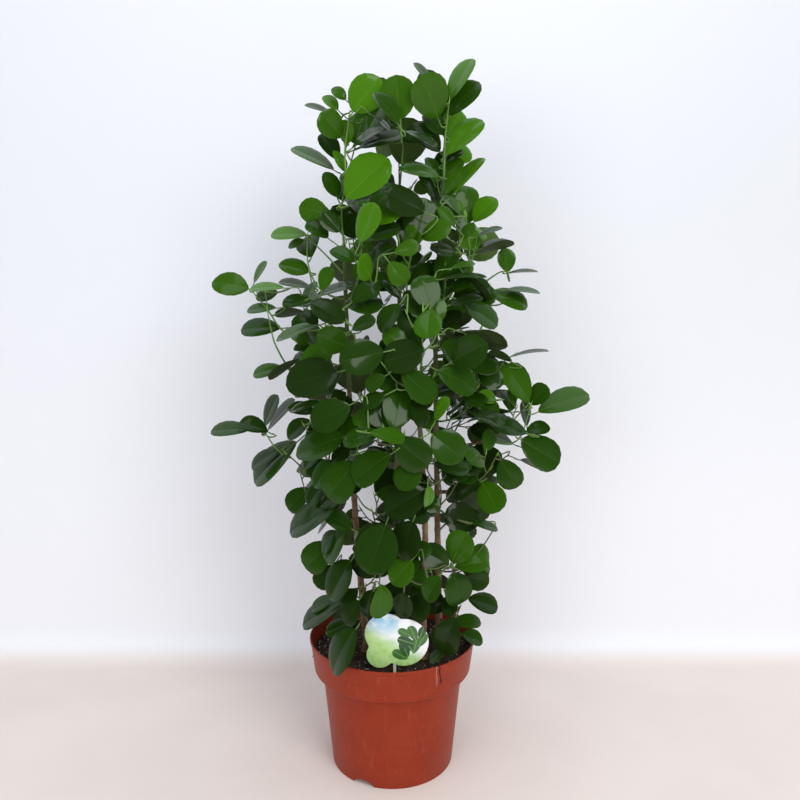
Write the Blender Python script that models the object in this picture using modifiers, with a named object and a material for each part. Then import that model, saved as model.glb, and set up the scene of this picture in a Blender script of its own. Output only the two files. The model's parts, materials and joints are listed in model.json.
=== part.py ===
"""Round-leaved fig with four stems, a bushy column of a plant in its moulded nursery pot.

Metres, +Z up. The origin is on the pot's axis, on the flat of its underside, and the front faces -Y.
"""

import math
import random

import bmesh
import bpy
from mathutils import Matrix, Vector
from mathutils.bvhtree import BVHTree

GAP = 0.0003  # kept between pieces that rest on or meet each other

# Pot: injection-moulded, with a deep collar, a thin foot skirt and a lowered centre to its base
RIM_RADIUS = 0.105
POT_HEIGHT = 0.1655
RIM_ROUND = 0.0008
WALL = 0.0018
COLLAR_HEIGHT = 0.0425
COLLAR_FOOT_RADIUS = 0.0995
COLLAR_ROUND = 0.004  # radius of the collar's lower edge
BODY_TOP_RADIUS = 0.0890
BODY_FOOT_RADIUS = 0.0772
SKIRT_HEIGHT = 0.009  # from the surface it stands on up to the drained part of the base
SKIRT_WALL = 0.0024
SKIRT_DRAFT = 0.0004
REST_RADIUS = 0.040  # lowered centre of the base, which stands on the floor too
REST_SLOPE = 0.004  # how far its side leans out on the way up
TURN_STEPS = 36
NOTCH_COUNT = 3
NOTCH_FIRST_BEARING = -27.0
NOTCH_HALF_WIDTH = 0.015
NOTCH_RISE = 0.0075
NOTCH_DEPTH = 0.012  # of the cylinder that cuts a notch through the skirt

# Potting mix
MIX_TOP = 0.1475
MIX_CLEARANCE = 0.0004

# Plant label: three round lobes (x, z, radius) cut from one card, on a flat stick
LABEL_CENTRE = Vector((0.0035, -0.0760, 0.1925))
LABEL_LOBES = ((-0.0100, 0.0070, 0.0254), (0.0110, -0.0035, 0.0292), (-0.0175, -0.0195, 0.0160))
LABEL_THICKNESS = 0.0008
LABEL_ROOM = Vector((0.050, 0.060, 0.040))  # kept clear to its sides, in front and above
CLEARANCE = 0.003  # between leaves and the pot, mix or label
STICK_WIDTH = 0.0035
STICK_THICKNESS = 0.0016
STICK_REACH = 0.012  # above the card's centre

# Stems and what they carry
STEM_RADIUS = 0.0043
STEM_TIP_RADIUS = 0.0021
ROOT_FLARE = 1.8  # times the stem's radius, at the flat cut
FLARE_HEIGHT = 0.024
BOUGH_RADIUS = 0.0023
BOUGH_SHARE = 0.42  # of a long shoot, before its leaves begin
SHOOT_STEPS = 6
LEVEL_START = 0.003  # of a shoot, so that its cut end lies flat beside the bark
TWIG_RADIUS = 0.0014
TWIG_TIP_RADIUS = 0.0008
TWIG_GUARD = 0.0019  # room that a twig keeps to itself
LIMB_GUARD = 1.3  # times a stem's or bough's radius

STEMS = {
    "left": ((-0.032, -0.012), (-0.046, -0.014, 0.34), (-0.053, -0.012, 0.54), (-0.056, -0.010, 0.655)),
    "back": ((0.003, 0.030), (0.006, 0.036, 0.36), (0.009, 0.035, 0.56), (0.009, 0.032, 0.675)),
    "right": ((0.060, 0.000), (0.056, 0.006, 0.36), (0.053, 0.004, 0.55), (0.057, 0.000, 0.665)),
    "front": ((0.038, -0.030), (0.040, -0.036, 0.33), (0.030, -0.045, 0.48), (0.022, -0.050, 0.565)),
}
LEADER_TIPS = {
    "left": (-0.030, -0.014, 0.806),
    "back": (0.008, 0.030, 0.806),
    "right": (0.063, -0.004, 0.815),
    "front": (0.030, -0.066, 0.660),
}
# Shoots that make the crown's outline: the stem, the height where they leave it, and where they end.
# The long ones have a bare bough before their leaves.
LONG_SHOOTS = {
    "left_upper": ("left", 0.468, (-0.148, -0.015, 0.615)),
    "left_middle": ("left", 0.385, (-0.156, -0.020, 0.452)),
    "left_lower": ("left", 0.320, (-0.108, -0.045, 0.385)),
    "right_upper": ("right", 0.520, (0.116, -0.012, 0.600)),
    "right_middle": ("right", 0.405, (0.178, -0.015, 0.474)),
    "right_lower": ("right", 0.350, (0.134, -0.030, 0.425)),
    "front_upper": ("front", 0.490, (0.034, -0.118, 0.580)),
    "front_lower": ("front", 0.400, (-0.006, -0.135, 0.455)),
    "back_upper": ("back", 0.420, (-0.060, 0.150, 0.500)),
    "back_lower": ("back", 0.360, (0.085, 0.140, 0.430)),
}
OUTER_SHOOTS = {
    "left_shoulder": ("left", 0.590, (-0.098, -0.015, 0.662)),
    "left_waist": ("left", 0.455, (-0.100, -0.030, 0.515)),
    "left_foot": ("left", 0.190, (-0.070, -0.040, 0.222)),
    "right_shoulder": ("right", 0.600, (0.086, -0.010, 0.685)),
    "right_waist": ("right", 0.440, (0.104, -0.040, 0.520)),
    "right_foot": ("right", 0.185, (0.082, -0.035, 0.215)),
    "front_waist": ("front", 0.300, (0.004, -0.080, 0.365)),
    "front_rosette": ("front", 0.235, (0.057, -0.088, 0.285)),
    "front_foot": ("left", 0.215, (-0.030, -0.084, 0.262)),
}
# Crown: how far the short shoots reach from its axis, by height
CROWN_AXIS = Vector((0.006, 0.004, 0.0))
CROWN_REACH = (
    (0.180, 0.078), (0.260, 0.092), (0.360, 0.105), (0.450, 0.125), (0.550, 0.116), (0.650, 0.092),
    (0.730, 0.070),
)
SHORT_SHOOTS = 20
FIRST_BEARING = 157.5
GOLDEN_TURN = 137.5
SHORT_REACH = 0.62  # of the crown's reach, for each fourth short shoot
SHORT_RISE = 0.075  # from where a short shoot leaves its stem to its tip, less near the pot
SHOOT_TRIES = (0, 6, -6, 12, -12, 18, -18, 26, -26, 36, -36, 48, -48)  # degrees to either side
SHORT_TIP_HEIGHTS = (0.206, 0.728)

# Leaves: obovate blades on short stalks, in a spiral along each twig
LEAF_LENGTH = 0.052
LEAF_WIDTH_SHARE = 0.82
LEAF_THICKNESS = 0.0013
THICKEST = 0.52  # of the way along the blade
LEAF_STALK = 0.011
LEAF_SPACING = 0.0175
LEAF_OPENING = 58.0  # degrees between a leaf's stalk and its twig
# Outlines in (along, across) shares of length and width: the blade's, and the room round it
BLADE_OUTLINE = ((0.20, 0.36), (0.70, 0.50), (1.0, 0.0), (0.70, -0.50), (0.20, -0.36))
GUARD_OUTLINE = (
    (0.08, 0.27), (0.22, 0.40), (0.46, 0.53), (0.72, 0.54), (0.90, 0.33), (1.03, 0.0),
    (0.90, -0.33), (0.72, -0.54), (0.46, -0.53), (0.22, -0.40), (0.08, -0.27),
)
ROOT_SUNK = 0.0001  # past the twig's heart
ROOT_HALF = 0.00035
GUARD_THICKNESS = 0.0022  # room that a leaf keeps to itself
KEPT_FACETS = (0.74, 0.78, 0.82, 0.88, 0.94)  # shares of a mass kept in thinning out, tried in turn
# By height: how far blades rise or droop, and how much their faces turn to the sky
LEAF_LIFT = ((0.17, -0.95), (0.35, -0.60), (0.52, -0.10), (0.66, 0.20), (0.84, 0.95))
LEAF_SIZE = ((0.17, 0.96), (0.45, 1.0), (0.65, 0.92), (0.80, 1.12))
LEAF_SKY = ((0.17, 0.45), (0.40, 0.55), (0.58, 1.10), (0.70, 0.60), (0.84, 0.25))
# How much faces turn to the front, or to the back on leaves behind the front part of the crown
LEAF_FRONT = ((0.17, 0.45), (0.70, 0.45), (0.84, 0.85))
FRONT_DEPTH = 0.030
SIDE_TWIGS = ((0.36, 1), (0.64, -1))  # share along the shoot, and hand
SIDE_TWIG_SHARE = 0.42  # of the shoot's length
YOUNG_LEAVES = {0: 0.72, 1: 0.86}  # size of the last leaves at a tip
LEAF_TRIES = ((0, 1.0), (40, 1.0), (-40, 1.0), (85, 0.95), (-85, 0.95), (140, 0.85), (180, 0.8))
SEED = 2


def bearing(degrees):
    """The level direction that many degrees round from the front, with +X at 90."""
    turn = math.radians(degrees)
    return Vector((math.sin(turn), -math.cos(turn), 0.0))


def graded(stops, at):
    """Reads a value off stops of (place, value)."""
    for (low, first), (high, last) in zip(stops, stops[1:]):
        if at <= high:
            return first + (last - first) * max(0.0, (at - low) / (high - low))
    return stops[-1][1]


# ---------------------------------------------------------------- growth: stems, shoots and leaves


def smooth_route(points, steps):
    """A smooth curve through a few points, with that many steps between each two."""
    points = [Vector(p) for p in points]
    points = [points[0] * 2 - points[1], *points, points[-1] * 2 - points[-2]]
    route = []
    for a, b, c, d in zip(points, points[1:], points[2:], points[3:]):
        slope, bow, twist = c - a, a * 2 - b * 5 + c * 4 - d, b * 3 - a - c * 3 + d
        for step in range(steps):
            t = step / steps
            route.append((b * 2 + slope * t + bow * t**2 + twist * t**3) / 2)
    return [*route, points[-2]]


def arched_route(start, outward, end, steps):
    """Leaves its limb level, then turns up or down towards its end."""
    reach = (end - start).length
    bend = start + outward * reach * 0.5 + (end - start) * 0.12
    shares = [i / steps for i in range(steps + 1)]
    return [start * (1 - t) ** 2 + bend * 2 * t * (1 - t) + end * t**2 for t in shares]


def walk(route, distance):
    """The point and the direction at a distance along a route."""
    for a, b in zip(route, route[1:]):
        length = (b - a).length
        if distance <= length or b is route[-1]:
            return a + (b - a) * (distance / length), (b - a).normalized()
        distance -= length


def route_length(route):
    return sum((b - a).length for a, b in zip(route, route[1:]))


def at_height(route, height):
    """Where a stem's route passes a height."""
    for a, b in zip(route, route[1:]):
        if a.z <= height <= b.z:
            return a + (b - a) * ((height - a.z) / (b.z - a.z))
    return route[-1]


def stem_radius(height, foot, tip):
    """A stem's radius, with a true taper and a flare at its foot."""
    share = (height - foot) / (tip - foot)
    flare = max(0.0, 1 - (height - foot) / FLARE_HEIGHT)
    plain = STEM_RADIUS + (STEM_TIP_RADIUS - STEM_RADIUS) * share
    return plain * (1 + (ROOT_FLARE - 1) * flare**2)


def tube(route, radii, sides):
    """Vertices and faces of a closed tube along a route."""
    verts, faces = [], []
    across = None
    for i, (point, radius) in enumerate(zip(route, radii)):
        ahead = (route[min(i + 1, len(route) - 1)] - route[max(i - 1, 0)]).normalized()
        if across is None:
            across = ahead.orthogonal()
        across = (across - ahead * across.dot(ahead)).normalized()
        up = ahead.cross(across)
        for side in range(sides):
            turn = 2 * math.pi * side / sides
            verts.append(point + (across * math.cos(turn) + up * math.sin(turn)) * radius)
    for i in range(len(route) - 1):
        for side in range(sides):
            a, b = i * sides + side, i * sides + (side + 1) % sides
            faces.append((a, b, b + sides, a + sides))
    faces.append(tuple(reversed(range(sides))))
    faces.append(tuple(range(len(verts) - sides, len(verts))))
    return verts, faces


def blade_shape(leaf, outline, root_half, thickness):
    """Vertices and faces of a leaf: a thin lens inside an outline of (along, across) shares, on a stalk."""
    root, stalk_end, along, normal, length = leaf
    across = normal.cross(along)
    width = length * LEAF_WIDTH_SHARE
    rim = [stalk_end + along * length * a + across * width * w for a, w in outline]
    crown = stalk_end + along * length * THICKEST
    verts = [root + normal * root_half, root - normal * root_half, *rim]
    verts += [crown + normal * thickness / 2, crown - normal * thickness / 2]
    top, under = len(verts) - 2, len(verts) - 1
    first, last = 2, len(rim) + 1
    faces = [(0, first, 1), (0, 1, last), (0, top, first)]
    faces += [(1, first, under), (top, 0, last), (under, last, 1)]
    for i in range(first, last):
        faces.append((i, top, i + 1))
        faces.append((i + 1, under, i))
    return verts, [tuple(reversed(face)) for face in faces]


class Room:
    """Keeps what has grown so far, so that nothing new runs through it."""

    def __init__(self):
        self.taken = []

    def measure(self, shape):
        verts, faces = shape
        centre = sum(verts, Vector()) / len(verts)
        radius = max((v - centre).length for v in verts)
        return centre, radius, BVHTree.FromPolygons(verts, faces)

    def add(self, owner, shape):
        self.taken.append((owner, *self.measure(shape)))

    def is_free(self, shape, apart_from=()):
        centre, radius, tree = self.measure(shape)
        return not any(
            owner not in apart_from
            and (centre - other_centre).length < radius + other_radius
            and tree.overlap(other_tree)
            for owner, other_centre, other_radius, other_tree in self.taken
        )


def in_open_air(points):
    """True where points are clear of the pot, its mix and the label."""
    for p in points:
        radius = math.hypot(p.x, p.y)
        over_pot = radius < RIM_RADIUS + CLEARANCE
        over_rim = over_pot and radius > COLLAR_FOOT_RADIUS - 2 * CLEARANCE
        off = p - LABEL_CENTRE
        if over_pot and p.z < MIX_TOP + CLEARANCE or over_rim and p.z < POT_HEIGHT + CLEARANCE:
            return False
        if abs(off.x) < LABEL_ROOM.x and abs(off.z) < LABEL_ROOM.z and -LABEL_ROOM.y < off.y < CLEARANCE:
            return False
    return True


def stem_limbs():
    """Each stem's route and radii, from the flat cut at the mix up to where its top leaves take over."""
    limbs = {}
    foot = MIX_TOP + GAP
    for name, (place, *points) in STEMS.items():
        tip = points[-1][2]
        curve = smooth_route([(*place, foot), *points], 5)
        rise = [Vector((curve[0].x, curve[0].y, foot + FLARE_HEIGHT * share)) for share in (0.0, 0.2, 0.5)]
        route = [*rise, *(p for p in curve if p.z > foot + FLARE_HEIGHT)]
        limbs[f"stem_{name}"] = (route, [stem_radius(p.z, foot, tip) for p in route])
    return limbs


def part_of(route, low, high, steps):
    """A stretch of a route, between two shares of its length."""
    length = route_length(route)
    return [walk(route, length * (low + (high - low) * i / steps))[0] for i in range(steps + 1)]


def tapered(route, first, last):
    return [first + (last - first) * i / (len(route) - 1) for i in range(len(route))]


def shoot_route(limb, height, end):
    """A shoot's route from just clear of its stem's bark."""
    route, radii = limb
    heart = at_height(route, height)
    outward = Vector((end.x - heart.x, end.y - heart.y, 0)).normalized()
    nearest = min(range(len(route)), key=lambda i: abs(route[i].z - height))
    start = heart + outward * (radii[nearest] + 2 * GAP)
    return [start, *arched_route(start + outward * LEVEL_START, outward, end, SHOOT_STEPS)]


def turned(point, degrees):
    """A point carried round the crown's axis."""
    return CROWN_AXIS + Matrix.Rotation(math.radians(degrees), 3, "Z") @ (point - CROWN_AXIS)


def free_route(room, limbs, limb_name, height, end, radius):
    """Aims a shoot at its end, or a little to one side of it where something is in the way."""
    for aside in SHOOT_TRIES:
        route = shoot_route(limbs[limb_name], height, turned(end, aside))
        widths = [radius + 3 * GAP] * len(route)
        if room.is_free(tube(route, widths, 3), {limb_name}) and room.is_free(tube(route[1:], widths[1:], 3)):
            return route
    return None


def side_twigs(route):
    """Two shorter twigs, one to each side of a shoot."""
    length = route_length(route)
    for place, hand in SIDE_TWIGS:
        start, ahead = walk(route, length * place)
        outward = (start - CROWN_AXIS) * Vector((1, 1, 0))
        across = ahead.cross(outward.normalized()).normalized() * hand
        way = (ahead * 0.6 + across * 0.8 + Vector((0, 0, 0.15))).normalized()
        reach = length * SIDE_TWIG_SHARE
        yield [start, start + way * reach * 0.5, start + (way + ahead * 0.35).normalized() * reach]


def leaf_places(route):
    """Distances along a twig where leaves sit, closing up towards its tip."""
    length = route_length(route)
    back, step = 0.0, LEAF_SPACING * 0.35
    while back < length - LEAF_SPACING * 0.8:
        yield length - back
        back += step
        step = min(LEAF_SPACING, step * 1.5)


def leaf_at(node, ahead, spin, size, draw):
    """A leaf's root, the end of its stalk, the way its blade points, the way it faces, and its length."""
    side = Matrix.Rotation(math.radians(spin), 3, ahead) @ ahead.orthogonal().normalized()
    opening = math.radians(LEAF_OPENING)
    stalk = ahead * math.cos(opening) + side * math.sin(opening)
    outward = ((node - CROWN_AXIS) * Vector((1, 1, 0))).normalized()
    lift = graded(LEAF_LIFT, node.z) + draw.uniform(-0.25, 0.25)
    along = (stalk + outward * 0.5 + Vector((0, 0, lift))).normalized()
    sky = graded(LEAF_SKY, node.z)
    front = Vector((0, math.copysign(graded(LEAF_FRONT, node.z), node.y - FRONT_DEPTH), 0))
    scatter = Vector([draw.uniform(-0.4, 0.4) for _ in range(3)])
    faces = outward * 0.55 + front + Vector((0, 0, sky)) + scatter
    normal = (faces - along * faces.dot(along)).normalized()
    stalk_end = node + stalk * LEAF_STALK * size
    return node - stalk * ROOT_SUNK, stalk_end, along, normal, LEAF_LENGTH * size


def guard(leaf):
    return blade_shape(leaf, GUARD_OUTLINE, 0.0008, GUARD_THICKNESS)


def grow():
    """Limbs, then every twig, then the leaves, each only where it has room."""
    room = Room()
    limbs = stem_limbs()
    for name, (route, radii) in limbs.items():
        room.add(name, tube(route, [r * LIMB_GUARD for r in radii], 7))
    masses = {}

    for name, end in LEADER_TIPS.items():
        route, radii = limbs[f"stem_{name}"]
        start = route[-1] + Vector((0, 0, 1.5 * GAP))
        leader = smooth_route([start, start + (route[-1] - route[-2]).normalized() * 0.05, end], 4)
        masses[f"foliage_top_{name}"] = [leader]
        room.add(f"foliage_top_{name}", tube(leader, [TWIG_GUARD] * len(leader), 3))

    for name, (stem, height, end) in LONG_SHOOTS.items():
        route = free_route(room, limbs, f"stem_{stem}", height, Vector(end), BOUGH_RADIUS)
        if route is None:
            continue
        bough = part_of(route, 0.0, BOUGH_SHARE, 5)
        limbs[f"bough_{name}"] = (bough, tapered(bough, BOUGH_RADIUS, TWIG_RADIUS * 1.15))
        rest = part_of(route, BOUGH_SHARE + 2 * GAP / route_length(route), 1.0, 6)
        masses[f"foliage_{name}"] = [rest]
        room.add(f"bough_{name}", tube(bough, [BOUGH_RADIUS * LIMB_GUARD] * len(bough), 7))
        room.add(f"foliage_{name}", tube(rest, [TWIG_GUARD] * len(rest), 3))

    for name, (stem, height, end) in OUTER_SHOOTS.items():
        route = free_route(room, limbs, f"stem_{stem}", height, Vector(end), TWIG_RADIUS)
        if route is None:
            continue
        masses[f"foliage_{name}"] = [route]
        room.add(f"foliage_{name}", tube(route, [TWIG_GUARD] * len(route), 3))

    low, high = SHORT_TIP_HEIGHTS
    for k in range(SHORT_SHOOTS):
        height = low + (high - low) * (k + 0.5) / SHORT_SHOOTS
        turn = FIRST_BEARING + GOLDEN_TURN * k
        reach = graded(CROWN_REACH, height) * (SHORT_REACH if k % 4 == 3 else 1.0)
        end = CROWN_AXIS + bearing(turn) * reach + Vector((0, 0, height))
        rise = min(SHORT_RISE, 0.35 * (height - low))
        from_height = max(height - rise, MIX_TOP + 0.030)

        def off_line(limb_name):
            route = limbs[limb_name][0]
            too_short = route[-1].z < from_height + 0.01
            return too_short, ((at_height(route, from_height) - end) * Vector((1, 1, 0))).length

        limb_name = min((n for n in limbs if n.startswith("stem_")), key=off_line)
        route = free_route(room, limbs, limb_name, from_height, end, TWIG_RADIUS)
        if route is None:
            continue
        name = f"foliage_{k + 1:02d}"
        masses[name] = [route]
        room.add(name, tube(route, [TWIG_GUARD] * len(route), 3))

    for name, twigs in masses.items():
        if name.startswith("foliage_top_"):
            continue
        for twig in side_twigs(twigs[0]):
            shape = tube(twig, [TWIG_GUARD] * len(twig), 3)
            if room.is_free(shape, {name}) and in_open_air(twig):
                twigs.append(twig)
                room.add(name, shape)

    leaves = {name: [] for name in masses}
    for name, twigs in masses.items():
        draw = random.Random(f"{name} {SEED}")
        for twig in twigs:
            spin = draw.uniform(0, 360)
            for place, distance in enumerate(leaf_places(twig)):
                node, ahead = walk(twig, distance)
                spin += GOLDEN_TURN + draw.uniform(-12, 12)
                size = graded(LEAF_SIZE, node.z) * draw.uniform(0.88, 1.12) * YOUNG_LEAVES.get(place, 1.0)
                state = draw.getstate()
                for aside, shrink in LEAF_TRIES:
                    draw.setstate(state)
                    leaf = leaf_at(node, ahead, spin + aside, size * shrink, draw)
                    shape = guard(leaf)
                    if in_open_air(shape[0]) and room.is_free(shape, {name}):
                        leaves[name].append(leaf)
                        room.add(name + "_leaf", shape)
                        break
    return limbs, masses, leaves


# ---------------------------------------------------------------- solids


def clear_scene():
    for obj in list(bpy.data.objects):
        bpy.data.objects.remove(obj)


def new_collection(name):
    collection = bpy.data.collections.new(name)
    bpy.context.scene.collection.children.link(collection)
    return collection


def finish(name, colour, roughness):
    """A Principled material of one plain colour."""
    material = bpy.data.materials.new(name)
    material.use_nodes = True
    shader = material.node_tree.nodes["Principled BSDF"]
    shader.inputs["Base Color"].default_value = (*colour, 1.0)
    shader.inputs["Roughness"].default_value = roughness
    shader.inputs["Metallic"].default_value = 0.0
    return material


def solid(name, shape, collection, material=None):
    """An object from vertices and faces."""
    mesh = bpy.data.meshes.new(name)
    mesh.from_pydata(shape[0], [], shape[1])
    obj = bpy.data.objects.new(name, mesh)
    if material:
        mesh.materials.append(material)
    collection.objects.link(obj)
    return obj


def settle(obj):
    """Makes an object's modifiers part of its mesh."""
    bpy.context.view_layer.update()
    mesh = bpy.data.meshes.new_from_object(obj.evaluated_get(bpy.context.evaluated_depsgraph_get()))
    obj.modifiers.clear()
    obj.data = mesh
    mesh.name = obj.name


def boolean(obj, operation, collection):
    cut = obj.modifiers.new(operation.title(), "BOOLEAN")
    cut.operation = operation
    cut.operand_type = "COLLECTION"
    cut.collection = collection
    cut.solver = "EXACT"


def join(body, pieces):
    """Fuses a collection's objects to a body, and removes them."""
    boolean(body, "UNION", pieces)
    settle(body)
    for obj in list(pieces.objects):
        bpy.data.objects.remove(obj)
    bpy.data.collections.remove(pieces)


def is_closed(mesh):
    form = bmesh.new()
    form.from_mesh(mesh)
    closed = all(edge.is_manifold for edge in form.edges) and all(vert.is_manifold for vert in form.verts)
    form.free()
    return closed


def thin_out(body):
    """Drops the smallest facets, which lie where leaves meet twigs."""
    whole = body.data
    for share in KEPT_FACETS:
        thin = body.modifiers.new("Thin", "DECIMATE")
        thin.ratio = share
        settle(body)
        if is_closed(body.data):
            return
        body.data = whole


def turned_solid(name, profile, collection, material):
    """Turns a profile of (radius, height) about the pot's axis."""
    mesh = bpy.data.meshes.new(name)
    edges = [(i, i + 1) for i in range(len(profile) - 1)]
    mesh.from_pydata([(r, 0, z) for r, z in profile], edges, [])
    mesh.materials.append(material)
    obj = bpy.data.objects.new(name, mesh)
    collection.objects.link(obj)
    screw = obj.modifiers.new("Turn", "SCREW")
    screw.axis = "Z"
    screw.steps = screw.render_steps = TURN_STEPS
    screw.use_merge_vertices = True
    screw.merge_threshold = 0.0001
    screw.use_smooth_shade = True
    return obj


def body_radius(height):
    """The outside of the pot's body, below its collar."""
    return BODY_FOOT_RADIUS + (BODY_TOP_RADIUS - BODY_FOOT_RADIUS) * height / (POT_HEIGHT - COLLAR_HEIGHT)


def inside_of_pot():
    """The inner wall's profile, from the centre of the floor out and up to the collar's ledge."""
    floor = SKIRT_HEIGHT + WALL
    ledge = POT_HEIGHT - COLLAR_HEIGHT + WALL
    return [
        (REST_RADIUS - WALL, WALL),
        (REST_RADIUS + REST_SLOPE - WALL, floor),
        (body_radius(floor) - WALL, floor),
        (BODY_TOP_RADIUS - WALL, ledge),
        (COLLAR_FOOT_RADIUS - WALL, ledge),
    ]


def upright_disc(name, radius, depth, sides, centre, turn, collection):
    """A disc or short cylinder with its axis level, turned about the pot's axis once it is placed."""
    mesh = bpy.data.meshes.new(name)
    form = bmesh.new()
    bmesh.ops.create_cone(form, cap_ends=True, segments=sides, radius1=radius, radius2=radius, depth=depth)
    bmesh.ops.rotate(form, matrix=Matrix.Rotation(math.radians(90), 3, "X"), verts=form.verts)
    bmesh.ops.translate(form, vec=centre, verts=form.verts)
    bmesh.ops.rotate(form, matrix=Matrix.Rotation(math.radians(turn), 3, "Z"), verts=form.verts)
    form.to_mesh(mesh)
    form.free()
    obj = bpy.data.objects.new(name, mesh)
    collection.objects.link(obj)
    return obj


def make_pot(parts, cutters):
    terracotta = finish("pot_plastic", (0.30, 0.045, 0.022), 0.45)
    under_collar = POT_HEIGHT - COLLAR_HEIGHT
    centre = (COLLAR_FOOT_RADIUS - COLLAR_ROUND, under_collar + COLLAR_ROUND)
    turns = [math.radians(-90 * i / 4) for i in range(5)]
    lower_edge = [
        (centre[0] + COLLAR_ROUND * math.cos(t), centre[1] + COLLAR_ROUND * math.sin(t)) for t in turns
    ]
    profile = [
        (0, WALL),
        *inside_of_pot(),
        (RIM_RADIUS - WALL, POT_HEIGHT - RIM_ROUND),
        (RIM_RADIUS - WALL / 2, POT_HEIGHT),
        (RIM_RADIUS, POT_HEIGHT - RIM_ROUND),
        *lower_edge,
        (BODY_TOP_RADIUS, under_collar),
        (BODY_FOOT_RADIUS, 0),
        (BODY_FOOT_RADIUS - SKIRT_WALL, 0),
        (BODY_FOOT_RADIUS - SKIRT_WALL + SKIRT_DRAFT, SKIRT_HEIGHT),
        (REST_RADIUS + REST_SLOPE, SKIRT_HEIGHT),
        (REST_RADIUS, 0),
        (0, 0),
    ]
    pot = turned_solid("pot", profile, parts, terracotta)
    drop = (NOTCH_HALF_WIDTH**2 - NOTCH_RISE**2) / (2 * NOTCH_RISE)
    for notch in range(NOTCH_COUNT):
        turn = NOTCH_FIRST_BEARING + 360 * notch / NOTCH_COUNT
        centre = Vector((0, -BODY_FOOT_RADIUS, -drop))
        cutter = upright_disc("foot_notch", drop + NOTCH_RISE, NOTCH_DEPTH, 48, centre, turn, cutters)
        cutter.hide_render = True
        cutter.display_type = "WIRE"
    boolean(pot, "DIFFERENCE", cutters)


def make_mix(parts):
    peat = finish("potting_mix", (0.030, 0.018, 0.012), 0.95)
    wall = [(r - MIX_CLEARANCE, z + MIX_CLEARANCE) for r, z in inside_of_pot()]
    ledge_radius, ledge = wall[-1]
    share = (MIX_TOP - ledge) / (POT_HEIGHT - ledge)
    shore = ledge_radius + (RIM_RADIUS - COLLAR_FOOT_RADIUS) * share
    profile = [(0, MIX_TOP), (shore, MIX_TOP), *reversed(wall), (0, WALL + MIX_CLEARANCE)]
    turned_solid("potting_mix", profile, parts, peat)


def make_label(parts):
    card = finish("label_card", (0.45, 0.62, 0.40), 0.35)
    pieces = new_collection("label_pieces")
    for number, (across, up, radius) in enumerate(LABEL_LOBES):
        centre = LABEL_CENTRE + Vector((across, 0, up))
        home = pieces if number else parts
        lobe = upright_disc("plant_label", radius, LABEL_THICKNESS, 24, centre, 0, home)
        lobe.data.materials.append(card)
    label = parts.objects["plant_label"]
    stick_foot = MIX_TOP + GAP
    stick_height = LABEL_CENTRE.z + STICK_REACH - stick_foot
    mesh = bpy.data.meshes.new("label_stick")
    form = bmesh.new()
    bmesh.ops.create_cube(form, size=1.0)
    bmesh.ops.scale(form, vec=(STICK_WIDTH, STICK_THICKNESS, stick_height), verts=form.verts)
    centre = (LABEL_CENTRE.x, LABEL_CENTRE.y + STICK_THICKNESS / 2, stick_foot + stick_height / 2)
    bmesh.ops.translate(form, vec=centre, verts=form.verts)
    form.to_mesh(mesh)
    form.free()
    pieces.objects.link(bpy.data.objects.new("label_stick", mesh))
    join(label, pieces)


def make_limb(name, route, radii, parts, material):
    """A tapering stem or bough: a curve with a round bevel and filled caps."""
    curve = bpy.data.curves.new(name, "CURVE")
    curve.dimensions = "3D"
    curve.bevel_depth = 1.0
    curve.bevel_resolution = 2 if name.startswith("stem") else 1
    curve.use_fill_caps = True
    spline = curve.splines.new("POLY")
    spline.points.add(len(route) - 1)
    for point, place, radius in zip(spline.points, route, radii):
        point.co = (*place, 1.0)
        point.radius = radius
    curve.materials.append(material)
    parts.objects.link(bpy.data.objects.new(name, curve))


def make_mass(name, twigs, leaves, parts, material):
    """A spray of leaves, fused to the twigs they grow from."""
    pieces = new_collection(name + "_pieces")
    body = solid(name, tube(twigs[0], tapered(twigs[0], TWIG_RADIUS, TWIG_TIP_RADIUS), 3), parts, material)
    for twig in twigs[1:]:
        solid(name + "_twig", tube(twig, tapered(twig, TWIG_RADIUS * 0.8, TWIG_TIP_RADIUS), 3), pieces)
    for leaf in leaves:
        solid(name + "_leaf", blade_shape(leaf, BLADE_OUTLINE, ROOT_HALF, LEAF_THICKNESS), pieces)
    join(body, pieces)
    thin_out(body)


def main():
    clear_scene()
    parts = new_collection("round_leaved_fig")
    cutters = new_collection("cutters")
    make_pot(parts, cutters)
    make_mix(parts)
    make_label(parts)
    bark = finish("bark", (0.13, 0.085, 0.045), 0.8)
    green = finish("leaf_green", (0.030, 0.105, 0.018), 0.4)
    limbs, masses, leaves = grow()
    for name, (route, radii) in limbs.items():
        make_limb(name, route, radii, parts, bark)
    for name, twigs in masses.items():
        make_mass(name, twigs, leaves[name], parts, green)


if __name__ == "__main__":
    main()
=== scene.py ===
"""Round-leaved fig with four stems, a bushy column of a plant in its moulded nursery pot.

Metres, +Z up. The origin is on the pot's axis, on the flat of its underside, and the front faces -Y.
"""

import json
import math
import random

import bmesh
import bpy
from mathutils import Matrix, Vector, noise
from mathutils.bvhtree import BVHTree

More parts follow.
